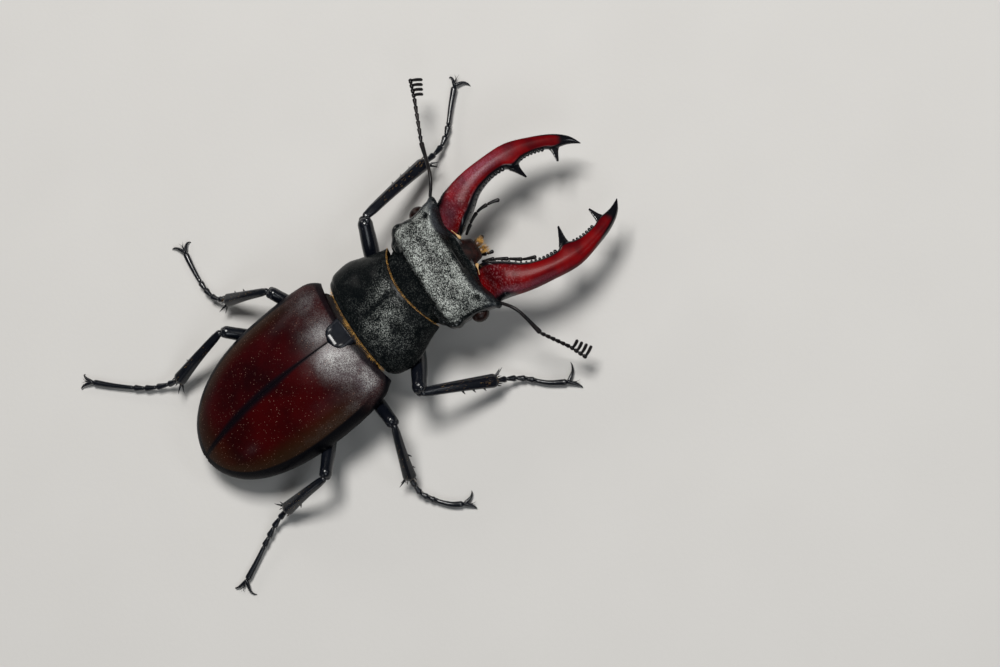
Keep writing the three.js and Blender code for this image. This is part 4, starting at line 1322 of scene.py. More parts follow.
# ---------------------------------------------------------------- jaws


@dataclass(frozen=True)
class Tooth:
    """A large tooth on a jaw's inner edge, standing on some faces of the jaw's cage."""

    first: int
    span: int
    tip: Point  # where it ends on the left jaw
    shares: tuple[float, ...]  # the steps by which it is drawn out
    end: float  # how wide its tip is, as a share of its root
    flare: float  # how much of the root's width is lost at once
    buttress: float  # how far the jaw swells towards it


@dataclass
class Jaws:
    """The two antlered jaws."""

    head: Head
    rows: tuple[tuple[float, ...], ...] = (
        (5.3, -18.4, 11.2, 2.4, 1.9),
        (5.9, -21.0, 11.7, 3.15, 2.4),
        (7.1, -23.8, 12.0, 2.8, 2.35),
        (8.65, -27.0, 11.9, 2.1, 2.05),
        (9.5, -30.6, 11.55, 1.7, 1.75),
        (9.7, -34.6, 10.9, 1.7, 1.55),
        (9.1, -38.2, 10.2, 1.25, 1.3),
        (8.0, -41.4, 9.5, 1.0, 1.05),
        (6.8, -43.5, 9.0, 0.6, 0.7),
        (5.3, -44.9, 8.6, 0.0, 0.0),
    )
    # The corners of the jaw's section, as shares of its half sizes outward and upward.
    section: tuple[Row, ...] = (
        (-1.08, 0.40), (-0.94, 0.72), (-0.68, 0.88), (-0.15, 0.97), (0.42, 0.95), (0.88, 0.66),
        (1.07, -0.05), (0.80, -0.82), (0.0, -1.12), (-0.72, -0.90), (-1.04, -0.36),
    )
    ridge: int = 5  # the corner that is a ridge
    ridge_crease: float = 0.6
    inner: tuple[int, ...] = (0, 1, 9, 10)  # the corners of the black inner wall
    sheen: tuple[int, ...] = (3, 4)  # the left jaw's corners that carry the painted sheen
    # where along each jaw the painted sheen lies
    left_painted_bloom: tuple[Ridge, ...] = ((0.55, 0.42, 0.14), (0.35, 0.14, 0.06))
    right_painted_bloom: tuple[Ridge, ...] = ((0.3, 0.36, 0.16), (0.5, 0.2, 0.07))
    ridge_tip: Row = (0.62, 0.86)  # where the ridge turns black
    blade_tip: Row = (0.82, 0.92)  # where the rest turns black
    steps: int = 64
    rim_reach: Row = (2.3, 4.2)
    rim_steps: int = 10
    close: Row = (math.radians(-0.8), 0.0)  # how far the left and the right jaw are closed
    socket: Track = track((-24.4, 14.6), (-23.0, 13.6), (-22.0, 12.3), (-21.3, 11.2), (-20.0, 10.4))
    teeth: tuple[Tooth, ...] = (
        Tooth(35, 5, (4.7, -35.2, 11.9), (0.06, 0.15, 0.3, 0.5, 0.75, 0.95, 1.0), 0.13, 0.25, 0.7),
        Tooth(52, 4, (4.65, -40.4, 9.9), (0.08, 0.2, 0.4, 0.65, 0.92, 1.0), 0.2, 0.3, 0.3),
    )
    # Rows of small blunt teeth: first and last ring, first and last size, and how many.
    beads: tuple[tuple[float, float, float, float, int], ...] = (
        (9.0, 22.0, 0.2, 0.24, 7), (24.0, 33.2, 0.26, 0.42, 7), (41.4, 49.6, 0.26, 0.38, 7),
    )

    def __post_init__(self) -> None:
        """Measures where each row lies along the jaw."""
        line = Path([row[:3] for row in self.rows])
        places = [line.reach[line.STEPS * index] / line.length for index in range(len(self.rows))]
        self.half_width = Track([(place, row[3]) for place, row in zip(places, self.rows)])
        self.half_depth = Track([(place, row[4]) for place, row in zip(places, self.rows)])

    def cage(self, side: float) -> Body:
        """The coarse mesh of one jaw, which a subdivision rounds.

        Args:
            side: 1 for the left jaw and -1 for the right one.

        Returns:
            The mesh, with its teeth and its marks.
        """
        path = Path([mirrored(row[:3], side) for row in self.rows])
        count = len(self.section)
        body = bmesh.new()
        bmesh.ops.create_uvsphere(body, u_segments=count, v_segments=self.steps, radius=1.0)
        dark, fine, painted_bloom = [body.verts.layers.float.new(mark) for mark in ("dark", "fine", "painted_bloom")]
        crease = body.edges.layers.float.new("crease_edge")
        corner_of, ring_of = {}, {}
        for vertex in body.verts:
            ring_of[vertex] = round(math.acos(clamp(vertex.co.z, -1.0, 1.0)) / math.pi * self.steps)
            turn = math.atan2(vertex.co.y, vertex.co.x) / (2.0 * math.pi)
            corner_of[vertex] = math.floor(turn * count) % count
        for vertex, ring in ring_of.items():
            place = ring / self.steps
            centre, _, across, over = path.frame(place)
            out, up = self.section[corner_of[vertex]] if 0 < ring < self.steps else (0.0, 0.0)
            width = self.half_width(place) + (self.buttress(ring) if out < -0.5 else 0.0)
            shift = across * (out * width * side) + over * (up * self.half_depth(place))
            vertex.co = centre + shift
            vertex.co.z = min(vertex.co.z, self.socket(vertex.co.y))
            vertex[dark] = self.blackness(place, corner_of[vertex])
            vertex[fine] = fade(0.16, 0.42, place)
            vertex[painted_bloom] = self.painted_bloom(place, corner_of[vertex], side)
        for edge in body.edges:
            on_ridge = all(corner_of[vertex] == self.ridge for vertex in edge.verts)
            if on_ridge and all(0 < ring_of[vertex] < self.steps for vertex in edge.verts):
                edge[crease] = self.ridge_crease
        wall = {}
        for face in body.faces:
            if {corner_of[vertex] for vertex in face.verts} == {0, count - 1}:
                wall[min(ring_of[vertex] for vertex in face.verts)] = face
        for tooth in self.teeth:
            roots = [wall[tooth.first + index] for index in range(tooth.span)]
            self.grow(body, roots, tooth, side, path)
        for first, last, small, large, many in self.beads:
            for index in range(many):
                share = index / (many - 1)
                self.bead(body, path, blend(first, last, share), blend(small, large, share), side)
        return body

    def buttress(self, ring: float) -> float:
        """How far the jaw swells inward towards a large tooth."""
        swell = 0.0
        for tooth in self.teeth:
            away = ring - (tooth.first + tooth.span * 0.4)
            swell += tooth.buttress * bell(away, 1.8 if away < 0 else 3.6)
        return swell

    def bead(self, body: Body, path: Path, ring: float, size: float, side: float) -> None:
        """Sets one small blunt tooth on the inner edge."""
        place = ring / self.steps
        centre, along, across, over = path.frame(place)
        width = self.half_width(place) + self.buttress(ring)
        middle = centre - across * (side * (width + size * 0.35)) + over * (self.half_depth(place) * 0.45)
        scale = Matrix.Diagonal((size, size * 1.2, size, 1.0))
        turn = Matrix((along, across, over)).transposed().to_4x4()
        frame = Matrix.Translation(middle) @ turn @ scale
        made = bmesh.ops.create_icosphere(body, subdivisions=1, radius=1.0, matrix=frame)
        dark = body.verts.layers.float["dark"]
        for vertex in made["verts"]:
            vertex[dark] = 1.0

    def blackness(self, place: float, corner: int) -> float:
        """How black a corner of the section is at a share of the way along the jaw."""
        outer = corner in (self.ridge, self.ridge + 1)
        tip = ease(*(self.ridge_tip if outer else self.blade_tip), place)
        wall = 1.0 if corner in self.inner else 0.0
        root = 0.9 * fade(0.2, 0.33, place) if outer else 0.0
        return clamp(max(tip, wall, root))

    def painted_bloom(self, place: float, corner: int, side: float) -> float:
        """How much pale painted sheen a corner of the section has: on the top of the left jaw and the outer
        ridge of the right one.
        """
        if side < 0:
            return ridges(place, self.right_painted_bloom) if corner == self.ridge else 0.0
        return ridges(place, self.left_painted_bloom) if corner in self.sheen else 0.0

    def grow(
        self, body: Body, roots: list[bmesh.types.BMFace], tooth: Tooth, side: float, path: Path
    ) -> None:
        """Draws a tooth out of some faces of the cage.

        Args:
            body: The cage.
            roots: The faces that the tooth stands on.
            tooth: Its sizes.
            side: 1 for the left jaw and -1 for the right one.
            path: The jaw's middle line.
        """
        dark = body.verts.layers.float["dark"]
        _, along, _, over = path.frame((tooth.first + tooth.span / 2.0) / self.steps)
        corners = {vertex for face in roots for vertex in face.verts}
        start = sum((vertex.co for vertex in corners), Vector()) / len(corners)
        goal = mirrored(tooth.tip, side)
        wide, thick, faces = 1.0, 1.0, roots
        for share in tooth.shares:
            grown = bmesh.ops.extrude_face_region(body, geom=faces)["geom"]
            faces = [item for item in grown if isinstance(item, bmesh.types.BMFace)]
            corners = {vertex for face in faces for vertex in face.verts}
            middle = sum((vertex.co for vertex in corners), Vector()) / len(corners)
            straight = 1.0 - share
            now = blend(tooth.end, 1.0, (1.0 - tooth.flare) * straight + tooth.flare * straight**8)
            thin = blend(tooth.end, 0.9, straight)
            for vertex in corners:
                offset = vertex.co - middle
                flat = along * (offset.dot(along) * now / wide) + over * (offset.dot(over) * thin / thick)
                vertex.co = start.lerp(goal, share) + flat
                vertex[dark] = 1.0
            wide, thick = now, thin

    def membrane(self, side: float) -> Body:
        """The pale skin that shows between a jaw's root and the head."""
        points = []
        for step in range(self.rim_steps + 1):
            x = blend(*self.rim_reach, step / self.rim_steps)
            y = self.head.midline_y(0.0) + self.head.scallop(x) - 0.12
            points.append(mirrored((x, y - 0.05, 12.0 - 0.35 * fade(2.2, 3.2, x)), side))
        return swept(Path(points), lambda share: (0.3 - 0.24 * ease(0.1, 0.6, share), 0.12), 60, 10)

    def build(self, bench: Bench) -> None:
        """Makes the pieces."""
        for (name, side), angle in zip(SIDES, self.close):
            jaw = turned(turned(self.cage(side), (angle, mirrored(self.rows[0][:3], side))), HEAD_TURN)
            bench.add(f"jaw_{name}", jaw, Slot.JAW, [f"mandible_{name}"], levels=2)
            rim = turned(self.membrane(side), HEAD_TURN)
            bench.add(f"jaw_membrane_{name}", rim, Slot.LABRUM, material=bench.materials["membrane"])


# ---------------------------------------------------------------- feelers and palps


@dataclass(frozen=True)
class FeelerPose:
    """Where one feeler bends."""

    base: Point
    bend: Point
    elbow: Point
    wrist: Point
    tip: Point
    leaf: Point


@dataclass
class Feelers:
    """The elbowed feelers with their combs, and the palps beside the mouth."""

    poses: dict[str, FeelerPose] = field(default_factory=lambda: {
        "left": FeelerPose(
            (10.0, -21.3, 12.2), (12.5, -23.1, 12.5), (18.5, -24.9, 11.2), (25.5, -27.7, 9.6),
            (28.7, -28.8, 9.0), (-0.6, -0.8, 0.0),
        ),
        "right": FeelerPose(
            (-9.4, -20.8, 12.2), (-12.3, -22.7, 12.5), (-17.3, -23.7, 11.2), (-20.6, -25.8, 6.8),
            (-23.3, -26.9, 5.6), (0.5, -0.86, 0.1),
        ),
    })
    palps: dict[str, tuple[Point, ...]] = field(default_factory=lambda: {
        "palp_maxillary_left": (
            (2.9, -22.3, 8.4), (4.2, -24.4, 8.8), (4.8, -26.1, 9.0), (4.7, -28.4, 8.9), (4.3, -29.8, 8.7),
        ),
        "palp_maxillary_right": (
            (-1.9, -22.0, 8.2), (-2.6, -23.6, 8.2), (-4.1, -25.8, 8.1), (-5.4, -27.5, 8.1),
            (-6.4, -29.5, 8.2),
        ),
        "palp_labial_left": ((0.9, -22.4, 8.3), (1.3, -23.4, 8.3), (1.3, -24.5, 8.0)),
        "palp_labial_right": ((-0.9, -22.4, 8.3), (-1.4, -23.4, 8.3), (-1.6, -24.5, 8.0)),
    })
    beads: int = 6
    leaves: int = 4

    @staticmethod
    def links(path: Path, count: int, slim: float, stout: float) -> list[Body]:
        """A chain of pear-shaped links along a path.

        Args:
            path: The chain's middle line.
            count: How many links.
            slim: A link's radius at its root.
            stout: Its radius near its end.

        Returns:
            The links' meshes.
        """
        chain = []
        for index in range(count):
            start, end = (index - 0.06) / count, (index + 0.97) / count
            line = Path([path.at(blend(start, end, step / 4)) for step in range(5)])
            chain.append(swept(line, lambda share: (blend(slim, stout, share**1.6),) * 2, rings=16, sides=16))
        return chain

    def scape(self, pose: FeelerPose) -> Body:
        """The long first link."""
        path = Path([pose.base, pose.bend, pose.elbow])
        return swept(path, lambda share: (0.27 + 0.16 * share**4,) * 2, rings=40, sides=16)

    def comb(self, pose: FeelerPose) -> Body:
        """The comb of flat leaves at the end."""
        wrist, tip, leaf = Vector(pose.wrist), Vector(pose.tip), Vector(pose.leaf)
        parts = self.links(Path([wrist, wrist.lerp(tip, 0.5), tip]), self.leaves, 0.3, 0.36)
        for index in range(self.leaves):
            share = (index + 0.6) / self.leaves
            root = wrist.lerp(tip, share)
            end = root + leaf * blend(1.5, 2.05, share) + (tip - wrist) * 0.05
            path = Path([root, root.lerp(end, 0.5) + (tip - wrist) * 0.02, end])
            parts.append(swept(path, lambda way: (0.15 + 0.1 * math.sin(way * 2.4), 0.5), rings=18, sides=14))
        return joined(parts)

    def build(self, bench: Bench) -> None:
        """Makes the pieces."""
        for name, pose in self.poses.items():
            elbow, wrist = Vector(pose.elbow), Vector(pose.wrist)
            start = elbow - 0.1 * (wrist - elbow).normalized()
            chain = self.links(Path([start, start.lerp(wrist, 0.5), wrist]), self.beads, 0.24, 0.4)
            bench.add(f"feeler_stem_{name}", self.scape(pose), Slot.FEELER, [f"antenna_scape_{name}"])
            bench.add(f"feeler_chain_{name}", joined(chain), Slot.FEELER, [f"antenna_funicle_{name}"])
            bench.add(f"feeler_comb_{name}", self.comb(pose), Slot.FEELER, [f"antenna_club_{name}"])
        for name, points in self.palps.items():
            chain = self.links(Path(points), len(points) - 1, 0.22, 0.37)
            bench.add(f"{name}_links", joined(chain), Slot.FEELER, [name])


# ---------------------------------------------------------------- trunk


@dataclass
class Trunk:
    """The body under the wing cases."""

    wings: WingCases
    rings: int = 90
    sides: int = 96
    headroom: float = 0.6
    side_room: float = 0.85
    roundness: float = 2.6
    keel: float = 0.6
    thorax_ends: Row = (-0.3, 11.4)
    abdomen_ends: Row = (11.2, 30.2)
    plate_length: float = 3.5
    plate_bow: float = 0.008
    cap: float = 0.06  # share of the rings in each end
    ceiling: float = 14.1
    thorax_half: Track = track((0, 6.4), (0.06, 7.4), (0.3, 8.9), (1, 9.5))
    thorax_floor: Track = track((0, 6.0), (0.1, 5.0), (0.3, 4.0), (0.7, 3.5), (1, 3.7))

    def under_wings(self, x: float, y: float) -> float:
        """The height just under the wing cases."""
        wings = self.wings
        reach = max(wings.half(y) - self.side_room, 0.3)
        rise = wings.top(y) - self.headroom - wings.rim(y)
        return wings.rim(y) + rise * arch(min(abs(x) / reach, 1.0), wings.roundness, wings.crown) - 0.1

    def body(self, ends: Row, floor: Track, half: Callable[[float, float], float]) -> Place:
        """Makes the function that places the vertices of one length of the trunk."""

        def place(way: float, angle: float) -> Vector:
            """A vertex of the trunk."""
            along, into = capped(way, self.cap)
            along = gathered(along, 0.3)
            y = blend(*ends, along)
            share = math.cos(angle)
            x = half(along, y) * share
            margin = self.wings.rim(y) - 0.45
            if math.sin(angle) >= 0.0:
                z = max(min(self.under_wings(x, y), self.ceiling), margin)
            else:
                z = margin - (margin - floor(along)) * arch(share, self.roundness, self.keel)
            point = Vector((x, y, z))
            return Vector((0.0, y, 0.5 * (self.wings.rim(y) + floor(along)) + 1.0)).lerp(point, 1.0 - into)

        return place

    def reach(self, y: float) -> float:
        """The half width that fits inside the wing cases."""
        return max(self.wings.half(y) - self.side_room, 0.25)

    def thorax(self) -> Body:
        """The hind chest, joined to the waist."""
        place = self.body(
            self.thorax_ends, self.thorax_floor, lambda along, y: min(self.thorax_half(along), self.reach(y))
        )
        chest = swollen(ball(self.rings, self.sides, place), self.chest_relief)
        waist = Path([(0.0, -2.6, 9.6), (0.0, 1.2, 9.6)])
        return joined([chest, swept(waist, lambda share: (6.0, 2.6), rings=30, sides=48)])

    @staticmethod
    def chest_relief(place: Vector, normal: Vector) -> float:
        """The chest's middle groove and the seams between its plates."""
        if normal.z > -0.1:
            return 0.0
        groove = 0.18 * bell(place.x, 0.2) * ease(4.0, 5.0, place.y)
        seam = 0.16 * bell(place.y - 2.1 - 0.06 * place.x**2, 0.22) + 0.14 * bell(place.y - 8.9, 0.18)
        side = 0.14 * bell(abs(place.x) - 7.6, 0.2)
        return -groove - seam - side + 0.04 * noise.noise(place * 0.9)

    def abdomen(self) -> Body:
        """The hind body with its overlapping plates."""
        floor = Track([(0, 3.9), (0.5, 4.15), (0.8, 4.6), (1, 5.0)])
        place = self.body(self.abdomen_ends, floor, lambda along, y: self.reach(y))

        def relief(point: Vector, normal: Vector) -> float:
            """Each plate overlaps the next with a step."""
            if normal.z > 0.0:
                return 0.0
            way = (point.y - self.thorax_ends[1]) / self.plate_length + self.plate_bow * point.x**2
            saw = way - math.floor(way)
            step = 0.24 * saw**2 * fade(0.93, 1.0, saw)
            return step + 0.03 * noise.noise(point * 0.9)

        return turned(swollen(ball(140, self.sides, place), relief), ABDOMEN_TURN)

    def build(self, bench: Bench) -> None:
        """Makes the pieces."""
        bench.add("chest_plates", self.thorax(), Slot.BELLY, ["thorax"])
        bench.add("belly_plates", self.abdomen(), Slot.BELLY, ["abdomen"])


# ---------------------------------------------------------------- legs


@dataclass(frozen=True)
class LegKind:
    """Sizes that the two legs of a pair share; places are those of the left leg."""

    coxa: tuple[Point, Point]
    coxa_radius: float
    root: Point
    femur: float
    tibia: float
    flare: float
    spines: int
    flat: float = 0.85


@dataclass(frozen=True)
class LegPose:
    """Where one leg bends."""

    side: float
    kind: str
    knee: Point
    ankle: Point
    foot: tuple[Point, ...]
    claws: tuple[Row, Row]


LEG_KINDS = {
    "front": LegKind(((1.3, -4.6, 5.7), (5.3, -6.0, 6.0)), 1.5, (5.9, -6.6, 5.9), 1.3, 0.8, 1.16, 3, 0.7),
    "middle": LegKind(((2.2, 3.2, 4.3), (5.2, 3.8, 4.6)), 1.4, (5.9, 4.3, 4.5), 1.1, 0.64, 1.15, 2),
    "hind": LegKind(((1.3, 9.6, 4.1), (6.0, 10.4, 4.3)), 1.25, (6.8, 10.9, 4.0), 1.08, 0.68, 1.18, 1),
}
LEG_POSES = {
    "front_left": LegPose(
        1.0, "front", (14.0, -10.9, 11.0), (17.8, -23.3, 3.9),
        ((18.9, -26.0, 2.0), (20.4, -28.0, 1.3), (24.0, -31.2, 0.95), (26.2, -33.3, 0.9)),
        ((28.1, -33.3), (24.9, -35.4)),
    ),
    "front_right": LegPose(
        -1.0, "front", (-13.9, -3.2, 11.0), (-17.7, -13.5, 3.7),
        ((-18.4, -15.3, 2.1), (-19.3, -16.7, 1.3), (-21.9, -19.3, 0.95), (-23.6, -21.9, 0.9)),
        ((-21.1, -24.0), (-25.6, -23.3)),
    ),
    "middle_left": LegPose(
        1.0, "middle", (14.0, 8.2, 9.2), (18.8, 15.9, 2.9),
        ((20.9, 17.5, 1.8), (23.3, 18.0, 1.3), (27.4, 17.9, 0.95), (30.0, 17.6, 0.9)),
        ((32.0, 19.3), (31.2, 16.0)),
    ),
    "middle_right": LegPose(
        -1.0, "middle", (-15.5, 2.9, 10.6), (-22.4, 6.7, 2.9),
        ((-24.6, 6.7, 1.8), (-26.1, 6.0, 1.3), (-28.8, 3.8, 0.95), (-29.9, 2.1, 0.9)),
        ((-28.7, 0.0), (-31.6, 0.9)),
    ),
    "hind_left": LegPose(
        1.0, "hind", (13.4, 18.1, 8.5), (12.5, 29.5, 2.9),
        ((13.6, 31.6, 1.8), (15.1, 34.5, 1.3), (18.7, 38.9, 0.95), (21.4, 41.7, 0.9)),
        ((23.6, 42.3), (21.7, 44.1)),
    ),
    "hind_right": LegPose(
        -1.0, "hind", (-15.8, 16.6, 9.4), (-14.8, 26.0, 2.9),
        ((-15.4, 28.6, 1.8), (-16.7, 31.4, 1.3), (-18.5, 34.8, 0.95), (-19.9, 37.5, 0.9)),
        ((-19.6, 40.0), (-22.6, 37.6)),
    ),
}


@dataclass
class Leg:
    """One leg, from the hip to the claws."""

    name: str
    pose: LegPose
    joints: tuple[float, ...] = (0.0, 0.16, 0.3, 0.43, 0.55, 1.0)
    toe_link: Row = (0.3, 0.6)  # slim and stout radius
    claw_link: Row = (0.34, 0.52)
    claw_radius: float = 0.29
    crown: int = 9  # points round the end of the shin

    def __post_init__(self) -> None:
        """Works out the leg's lines."""
        self.kind = LEG_KINDS[self.pose.kind]
        self.knee, self.ankle = Vector(self.pose.knee), Vector(self.pose.ankle)
        self.shin = self.ankle - self.knee
        self.down = self.shin.normalized()
        outer = self.pose.side if self.pose.kind == "front" else -self.pose.side
        self.outward = UP.cross(self.down).normalized() * outer
        self.root = mirrored(self.kind.root, self.pose.side)
        bow = self.knee.lerp(self.ankle, 0.5) + UP * 0.35
        self.shin_line = Path([self.knee, bow, self.ankle])
        self.foot_line = Path([self.ankle - 0.5 * self.down, *self.pose.foot])

    def coxa(self) -> Body:
        """The hip."""
        ends = [mirrored(end, self.pose.side) for end in self.kind.coxa]
        return swept(Path(ends), lambda share: (self.kind.coxa_radius,) * 2, rings=24, sides=28)

    def femur(self) -> Body:
        """The thigh, with the small link at its root and the cheeks of the knee."""

        def size(share: float) -> Row:
            """Half width and half depth."""
            half = self.kind.femur * (0.72 + 0.28 * math.sin(min(share / 0.8, 1.0) * math.pi * 0.75))
            return half, half * 1.12

        way = (self.knee - self.root).normalized()
        thigh = swept(Path([self.root, self.root.lerp(self.knee, 0.5), self.knee + 0.1 * way]), size, 40, 28)
        link = lobe(self.root + 0.3 * way, (0.95, 0.95, 0.9))
        cheeks = []
        for hand in (-1.0, 1.0):
            beside = way.cross(self.down).normalized() * (hand * 0.4 * self.kind.femur)
            middle = self.knee + beside - 0.5 * way + 0.12 * self.down
            cheeks.append(lobe(middle, (0.52 * self.kind.femur,) * 3))
        return joined([thigh, link, *cheeks])

    def tibia(self) -> Body:
        """The shin: grooved, thorny on its outer edge, with a crown of points and two spurs."""

        def size(share: float) -> Row:
            """Half width and half depth, narrowest just under the knee."""
            half = blend(self.kind.tibia, self.kind.flare, share**1.7)
            half *= 0.82 + 0.18 * ease(0.02, 0.16, share)
            return half, half * self.kind.flat

        def grooves(angle: float, share: float) -> float:
            """Long shallow grooves between ridges."""
            return 1.0 + 0.045 * math.cos(5.0 * angle) * ease(0.08, 0.25, share)

        parts = [swept(self.shin_line, size, 56, 36, grooves)]
        for index in range(self.kind.spines):
            share = 0.45 + 0.4 * (index + 0.5) / self.kind.spines
            base = self.knee + self.shin * share + self.outward * (self.kind.tibia * 0.5)
            lean = self.outward + self.down * 0.45
            parts.append(spike(base, base + lean, 0.27, self.down * -0.1))
        for step in range(self.crown):
            turn = Matrix.Rotation(2.0 * math.pi * step / self.crown, 3, self.down)
            out = turn @ self.outward
            base = self.ankle - 0.35 * self.down + out * (self.kind.flare * 0.72)
            parts.append(spike(base, base + self.down * 0.62 + out * 0.1, 0.13))
        for hand in (-1.0, 1.0):
            base = self.ankle - self.down * 0.9 - self.outward * (0.35 * self.kind.flare)
            aim = (self.down + self.outward * (0.25 * hand - 0.9) + UP * (hand * 0.45)).normalized() * 2.3
            parts.append(spike(base, base + aim, 0.25, self.down * 0.14))
        return joined(parts)

    @staticmethod
    def link(line: Path, slim: float, stout: float) -> Body:
        """One link of the foot, from its slim root to its stout end."""

        def size(share: float) -> Row:
            """Half width and half depth."""
            return blend(slim, stout, share**1.3), blend(slim, stout * 0.86, share)

        return swept(line, size, 22, 18)

    def tarsus(self) -> Body:
        """The foot: five links, each wider at its end, with two small points under it."""
        parts = []
        for start, end in zip(self.joints, self.joints[1:]):
            line = Path([self.foot_line.at(blend(start, end + 0.006, step / 5)) for step in range(6)])
            parts.append(self.link(line, *(self.toe_link if end < 1.0 else self.claw_link)))
            tip, along, across, over = self.foot_line.frame(end - 0.012)
            if end < 1.0:
                for hand in (-1.0, 1.0):
                    root = tip + across * (0.26 * hand) - over * 0.22
                    point = root + along * 0.42 - over * 0.16 + across * (0.12 * hand)
                    parts.append(spike(root, point, 0.11))
        return joined(parts)

    def claw_size(self, share: float) -> Row:
        """A claw's half width and half depth."""
        return (self.claw_radius * (1.04 - share**1.6) + 0.015,) * 2

    def claws(self) -> Body:
        """The two claws and the bristled point between them."""
        toe, along, _, _ = self.foot_line.frame(1.0)
        ahead = Vector((along.x, along.y, 0.0)).normalized()
        heel = toe + ahead * 0.45
        parts = [lobe(toe + ahead * 0.22, (0.36, 0.36, 0.36))]
        for tip in self.pose.claws:
            end = Vector((tip[0], tip[1], 0.04)) - ahead * 0.07
            middle = heel.lerp(end, 0.5) + ahead * 0.34
            middle.z = 0.62
            low = middle.lerp(end, 0.62) + ahead * 0.16
            low.z = 0.42
            path = Path([toe + ahead * 0.1, middle, low, end])
            parts.append(swept(path, self.claw_size, 30, 16, gather=0.4))
        stalk = heel + ahead * 0.9 + UP * -0.25
        parts.append(swept(Path([heel, heel.lerp(stalk, 0.5), stalk]), lambda share: (0.11, 0.09), 12, 10))
        for hand in (-1.0, 1.0):
            beside = UP.cross(ahead) * (0.4 * hand)
            parts.append(spike(stalk - ahead * 0.08, stalk + ahead * 0.65 + beside, 0.05))
        return joined(parts)

    def build(self, bench: Bench) -> None:
        """Makes the pieces."""
        for make in (self.coxa, self.femur, self.tibia, self.tarsus, self.claws):
            part = make.__name__
            bench.add(f"leg_{part}_{self.name}", make(), Slot.LIMB, [f"{part}_{self.name}"])


# ---------------------------------------------------------------- hair


@dataclass(frozen=True)
class Strand:
    """One bristle: its root, its lie, how it droops, its size and its place on the skin's unwrap."""

    root: Vector
    aim: Vector
    droop: Vector
    length: float
    radius: float
    spot: Row


class Coat:
    """Bristles as one solid mesh, copied from a small cone."""

    SIDES = 4
    CUTS = 2
    PATCH = 0.003

    def __init__(self, seed: int) -> None:
        """Makes the cone that every bristle copies."""
        self.random = np.random.default_rng(seed)
        cone = bmesh.new()
        bmesh.ops.create_cone(
            cone, cap_ends=True, segments=self.SIDES, radius1=1.0, radius2=0.12, depth=1.0,
            matrix=Matrix.Translation((0.0, 0.0, 0.5)),
        )
        rising = [edge for edge in cone.edges if abs(edge.verts[0].co.z - edge.verts[1].co.z) > 0.5]
        bmesh.ops.subdivide_edges(cone, edges=rising, cuts=self.CUTS, use_grid_fill=True)
        cone.verts.ensure_lookup_table()
        self.points = np.array([vertex.co for vertex in cone.verts])
        self.faces = [[vertex.index for vertex in face.verts] for face in cone.faces]
        cone.free()

    def draw(self, low: float, high: float) -> float:
        """A random number between two."""
        return self.random.uniform(low, high)

    def jitter(self, amount: float) -> Vector:
        """A random small offset."""
        return Vector(self.random.normal(0.0, amount, 3))

    def piece(self, name: str, strands: Sequence[Strand], bench: Bench) -> None:
        """Copies the cone to every strand and makes a finished piece of them.

        Args:
            name: The piece's name.
            strands: The bristles.
            bench: Where the piece is finished.
        """
        places, faces, spots, tones = [], [], [], []
        count = len(self.points)
        for index, strand in enumerate(strands):
            aim = strand.aim.normalized()
            across = aim.orthogonal().normalized()
            over = aim.cross(across)
            share = self.points[:, 2:3]
            line = share * np.array(aim) + share**2 * np.array(strand.droop)
            ring = self.points[:, :1] * np.array(across) + self.points[:, 1:2] * np.array(over)
            places.append(np.array(strand.root) + line * strand.length + ring * strand.radius)
            faces += [[corner + index * count for corner in face] for face in self.faces]
            spots.append(np.array(strand.spot) + self.points[:, :2] * (self.PATCH / 2.0))
            tones.append(self.points[:, 2] * 0.6 + self.draw(0.0, 0.5))
        mesh = bpy.data.meshes.new(name)
        mesh.from_pydata(np.concatenate(places).tolist(), [], faces)
        mesh.attributes.new("tone", "FLOAT", "POINT").data.foreach_set("value", np.concatenate(tones))
        unwrap = mesh.uv_layers.new(name="OFBake")
        corners = np.array([loop.vertex_index for loop in mesh.loops])
        unwrap.data.foreach_set("uv", np.concatenate(spots)[corners].ravel())
        body = bmesh.new()
        body.from_mesh(mesh)
        bpy.data.meshes.remove(mesh)
        bench.add(name, body, Slot.SETAE)


